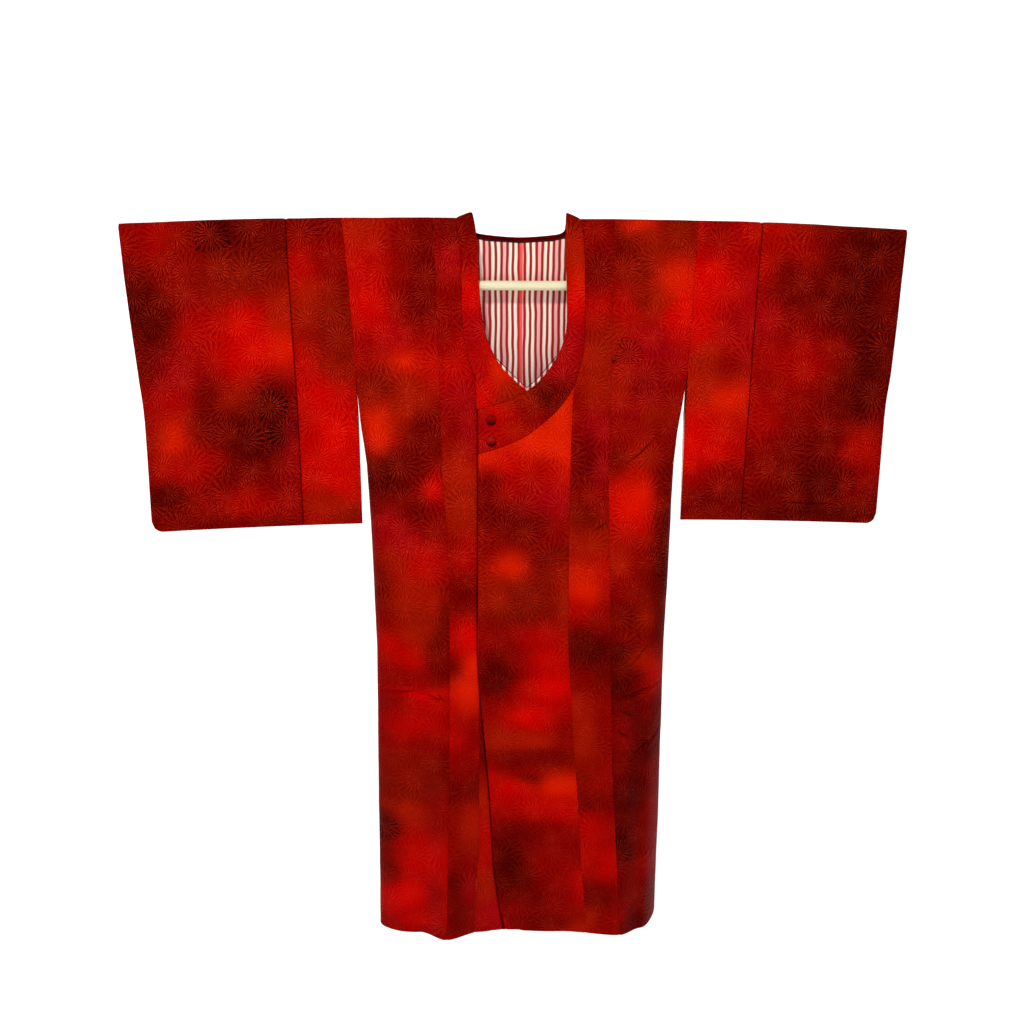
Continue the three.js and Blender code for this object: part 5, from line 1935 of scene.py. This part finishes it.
@dataclass
class RodHanger:
    """The bent rod that carries the coat."""

    cut: Cut
    material: bpy.types.Material
    sides: int = 24
    bend_steps: int = 8
    arm_steps: int = 12
    end_round: float = 2.8
    merge_within: float = 0.05

    def build(self) -> None:
        """Models one half of the rod from its middle outwards, and mirrors it."""
        cut = self.cut
        bend = cut.rod_bend * MM
        foot = (cut.upright_x - cut.rod_bend) * MM
        top = (cut.bar_drop - cut.fold_radius) * MM
        bpy.ops.object.select_all(action="DESELECT")
        bpy.ops.mesh.primitive_cylinder_add(
            vertices=self.sides, radius=cut.rod_radius * MM, depth=foot,
            end_fill_type="NGON", location=(foot / 2, 0, 0), rotation=(0, math.pi / 2, 0),
        )
        made = bpy.context.active_object
        made.name = "rod_hanger"
        bpy.ops.object.transform_apply(location=True, rotation=True, scale=True)
        self.choose_end(made, Vector((1, 0, 0)))
        self.turn_end(made, (foot, 0, bend), (0, 1, 0))
        self.choose_end(made, Vector((0, 0, 1)))
        self.push_end((0, 0, top - 2 * bend))
        self.choose_end(made, Vector((0, 0, 1)))
        self.turn_end(made, (foot + 2 * bend, 0, top - bend), (0, -1, 0))
        places = np.linspace(cut.upright_x + cut.rod_bend, cut.arm_reach, self.arm_steps + 1)
        heights = cut.height_at(places, np.full_like(places, cut.fold_radius))
        for number in range(self.arm_steps):
            self.choose_end(made, Vector((1, 0, 0)))
            step = (places[number + 1] - places[number]) * MM
            self.push_end((step, 0, (heights[number + 1] - heights[number]) * MM))
        self.choose_end(made, Vector((1, 0, 0)))
        bpy.ops.object.mode_set(mode="EDIT")
        bpy.ops.mesh.bevel(offset=self.end_round * MM, segments=4, affect="EDGES")
        bpy.ops.object.mode_set(mode="OBJECT")
        self.open_middle(made)
        pick(made)
        mirror = made.modifiers.new("halves", "MIRROR")
        mirror.use_axis = (True, False, False)
        mirror.use_clip = True
        bpy.ops.object.modifier_apply(modifier=mirror.name)
        bpy.ops.object.mode_set(mode="EDIT")
        bpy.ops.mesh.select_all(action="SELECT")
        bpy.ops.mesh.remove_doubles(threshold=self.merge_within * MM)
        bpy.ops.mesh.normals_make_consistent(inside=False)
        bpy.ops.object.mode_set(mode="OBJECT")
        made.data.materials.clear()
        made.data.materials.append(self.material)
        bpy.ops.object.shade_smooth_by_angle(angle=math.radians(40))
        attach(made, "root")
        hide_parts("hanger")
        LOG.info("%s: %d faces", made.name, len(made.data.polygons))

    @staticmethod
    def choose_end(made: bpy.types.Object, heading: Vector) -> None:
        """Selects the rod's free end.

        Args:
            made: The rod.
            heading: Direction that the end faces.
        """
        bpy.ops.object.mode_set(mode="OBJECT")
        caps = [face for face in made.data.polygons if len(face.vertices) > 4]
        best = max(caps, key=lambda face: face.normal.dot(heading) + 4 * face.center.x)
        for part in (*made.data.polygons, *made.data.edges, *made.data.vertices):
            part.select = False
        best.select = True
        for vertex in best.vertices:
            made.data.vertices[vertex].select = True
        bpy.ops.object.mode_set(mode="EDIT")
        bpy.ops.mesh.select_mode(type="FACE")

    def turn_end(
        self, made: bpy.types.Object, centre: tuple[float, float, float],
        axis: tuple[float, float, float],
    ) -> None:
        """Sweeps the chosen end through a quarter turn.

        Args:
            made: The rod.
            centre: Middle of the bend.
            axis: Axis of the bend.
        """
        bpy.ops.mesh.spin(steps=self.bend_steps, angle=math.pi / 2, center=centre, axis=axis)
        bpy.ops.object.mode_set(mode="OBJECT")

    @staticmethod
    def push_end(step: tuple[float, float, float]) -> None:
        """Lengthens the rod by moving its chosen end by a step."""
        bpy.ops.mesh.extrude_region_move(TRANSFORM_OT_translate={"value": step})
        bpy.ops.object.mode_set(mode="OBJECT")

    @staticmethod
    def open_middle(made: bpy.types.Object) -> None:
        """Takes off the cap where the two halves of the rod meet."""
        shape = bmesh.new()
        shape.from_mesh(made.data)
        caps = [
            face for face in shape.faces
            if abs(face.calc_center_median().x) < 1e-5 and abs(face.normal.x) > 0.9
        ]
        bmesh.ops.delete(shape, geom=caps, context="FACES_ONLY")
        shape.to_mesh(made.data)
        shape.free()


# ---- Stage -----------------------------------------------------------------


@dataclass
class Studio:
    """Camera, soft lights and a pale floor that curves up behind the coat."""

    sight: Sight = Sight()
    floor: float = -1.32
    half_width: float = 7.0
    floor_ends: tuple[float, float] = (-6.0, 1.6)
    curve: float = 1.4
    wall_top: float = 6.0
    # Name, place, width in metres and power in watts of each lamp.
    lamps: tuple[tuple[str, tuple[float, float, float], float, float], ...] = (
        ("key", (-0.9, -2.2, 2.3), 0.3, 72.0),
        ("fill", (0.9, -3.4, 0.3), 2.0, 13.0),
        ("back_left", (-2.4, 2.0, 1.8), 1.8, 6.0),
        ("back_right", (2.4, 2.0, 1.8), 1.8, 6.0),
    )
    lamps_face: tuple[float, float, float] = (0, 0, -0.45)

    def camera(self) -> None:
        """Adds the camera."""
        data = bpy.data.cameras.new("camera")
        data.lens = self.sight.lens
        data.sensor_width = self.sight.sensor
        data.clip_start = 0.05
        made = bpy.data.objects.new("camera", data)
        made.location = self.sight.eye
        made.rotation_euler = self.sight.turn
        bpy.context.collection.objects.link(made)
        bpy.context.scene.camera = made

    def lamp(
        self, name: str, place: tuple[float, float, float], size: float, power: float
    ) -> None:
        """Adds a soft lamp that faces the coat.

        Args:
            name: Name of the lamp.
            place: Where it hangs.
            size: Its width.
            power: Its power in watts.
        """
        data = bpy.data.lights.new(name, "AREA")
        data.size = size
        data.energy = power
        made = bpy.data.objects.new(name, data)
        made.location = place
        aim = Vector(self.lamps_face) - Vector(place)
        made.rotation_euler = aim.to_track_quat("-Z", "Y").to_euler()
        bpy.context.collection.objects.link(made)

    def sweep(self) -> None:
        """Adds the floor and backdrop."""
        front, back = self.floor_ends
        turns = [(front, 0.0), (back, 0.0)]
        for angle in np.linspace(0.15, math.pi / 2, 12):
            turns.append((back + self.curve * math.sin(angle), self.curve * (1 - math.cos(angle))))
        turns.append((back + self.curve, self.wall_top))
        sides = (-self.half_width, self.half_width)
        points = [(x, y, z + self.floor) for y, z in turns for x in sides]
        faces = [(2 * n, 2 * n + 1, 2 * n + 3, 2 * n + 2) for n in range(len(turns) - 1)]
        mesh = bpy.data.meshes.new("backdrop")
        mesh.from_pydata(points, [], faces)
        made = bpy.data.objects.new("backdrop", mesh)
        bpy.context.collection.objects.link(made)
        # Matt paper scatters all light, so its lamps leave no highlight.
        paper = {
            "Base Color": rgba("FAFAFA"),
            "Roughness": 0.95,
            "Specular IOR Level": 0.1,
            "Emission Color": rgba("FFFFFF"),
            "Emission Strength": 0.55,
        }
        mesh.materials.append(Recipe("matt_white_paper").finish(paper))
        pick(made)
        bpy.ops.object.shade_smooth_by_angle(angle=math.radians(60))
        made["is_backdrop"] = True

    def build(self) -> None:
        """Sets up the studio."""
        self.camera()
        self.sweep()
        for lamp in self.lamps:
            self.lamp(*lamp)
        world = bpy.data.worlds.new("studio")
        bpy.context.scene.world = world
        world.use_nodes = True
        background = world.node_tree.nodes["Background"]
        background.inputs[0].default_value = (1, 1, 1, 1)
        background.inputs[1].default_value = 0.2
        bpy.context.scene.view_settings.view_transform = "Standard"


def main() -> None:
    """Builds the coat, its hanger and the studio."""
    logging.basicConfig(level=logging.INFO, format="%(name)s: %(message)s")
    cut = Cut()
    weaver = Weaver(FiguredSilk().build(), StripedLining().build())
    Studio().build()
    Body(cut, weaver).build()
    Sleeves(cut, weaver).build()
    Collar(cut, weaver).build()
    Lining(cut, weaver).build()
    button_silks = (
        CoveredButtonSilk("covered_button_silk_deep", bright="8A0806"),
        CoveredButtonSilk("covered_button_silk_red", bright="B81410"),
    )
    for node, silk in zip(BUTTONS, button_silks):
        CoveredButton(silk.build(), node).build()
    RodHanger(cut, CreamTube().build()).build()
    boxes = {"solids": SOLID_BOX, "looks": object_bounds()}
    {key: [list(map(float, c)) for c in box] for key, box in boxes.items()}
    LOG.info("boxes: %s", boxes)


if __name__ == "__main__":
    main()
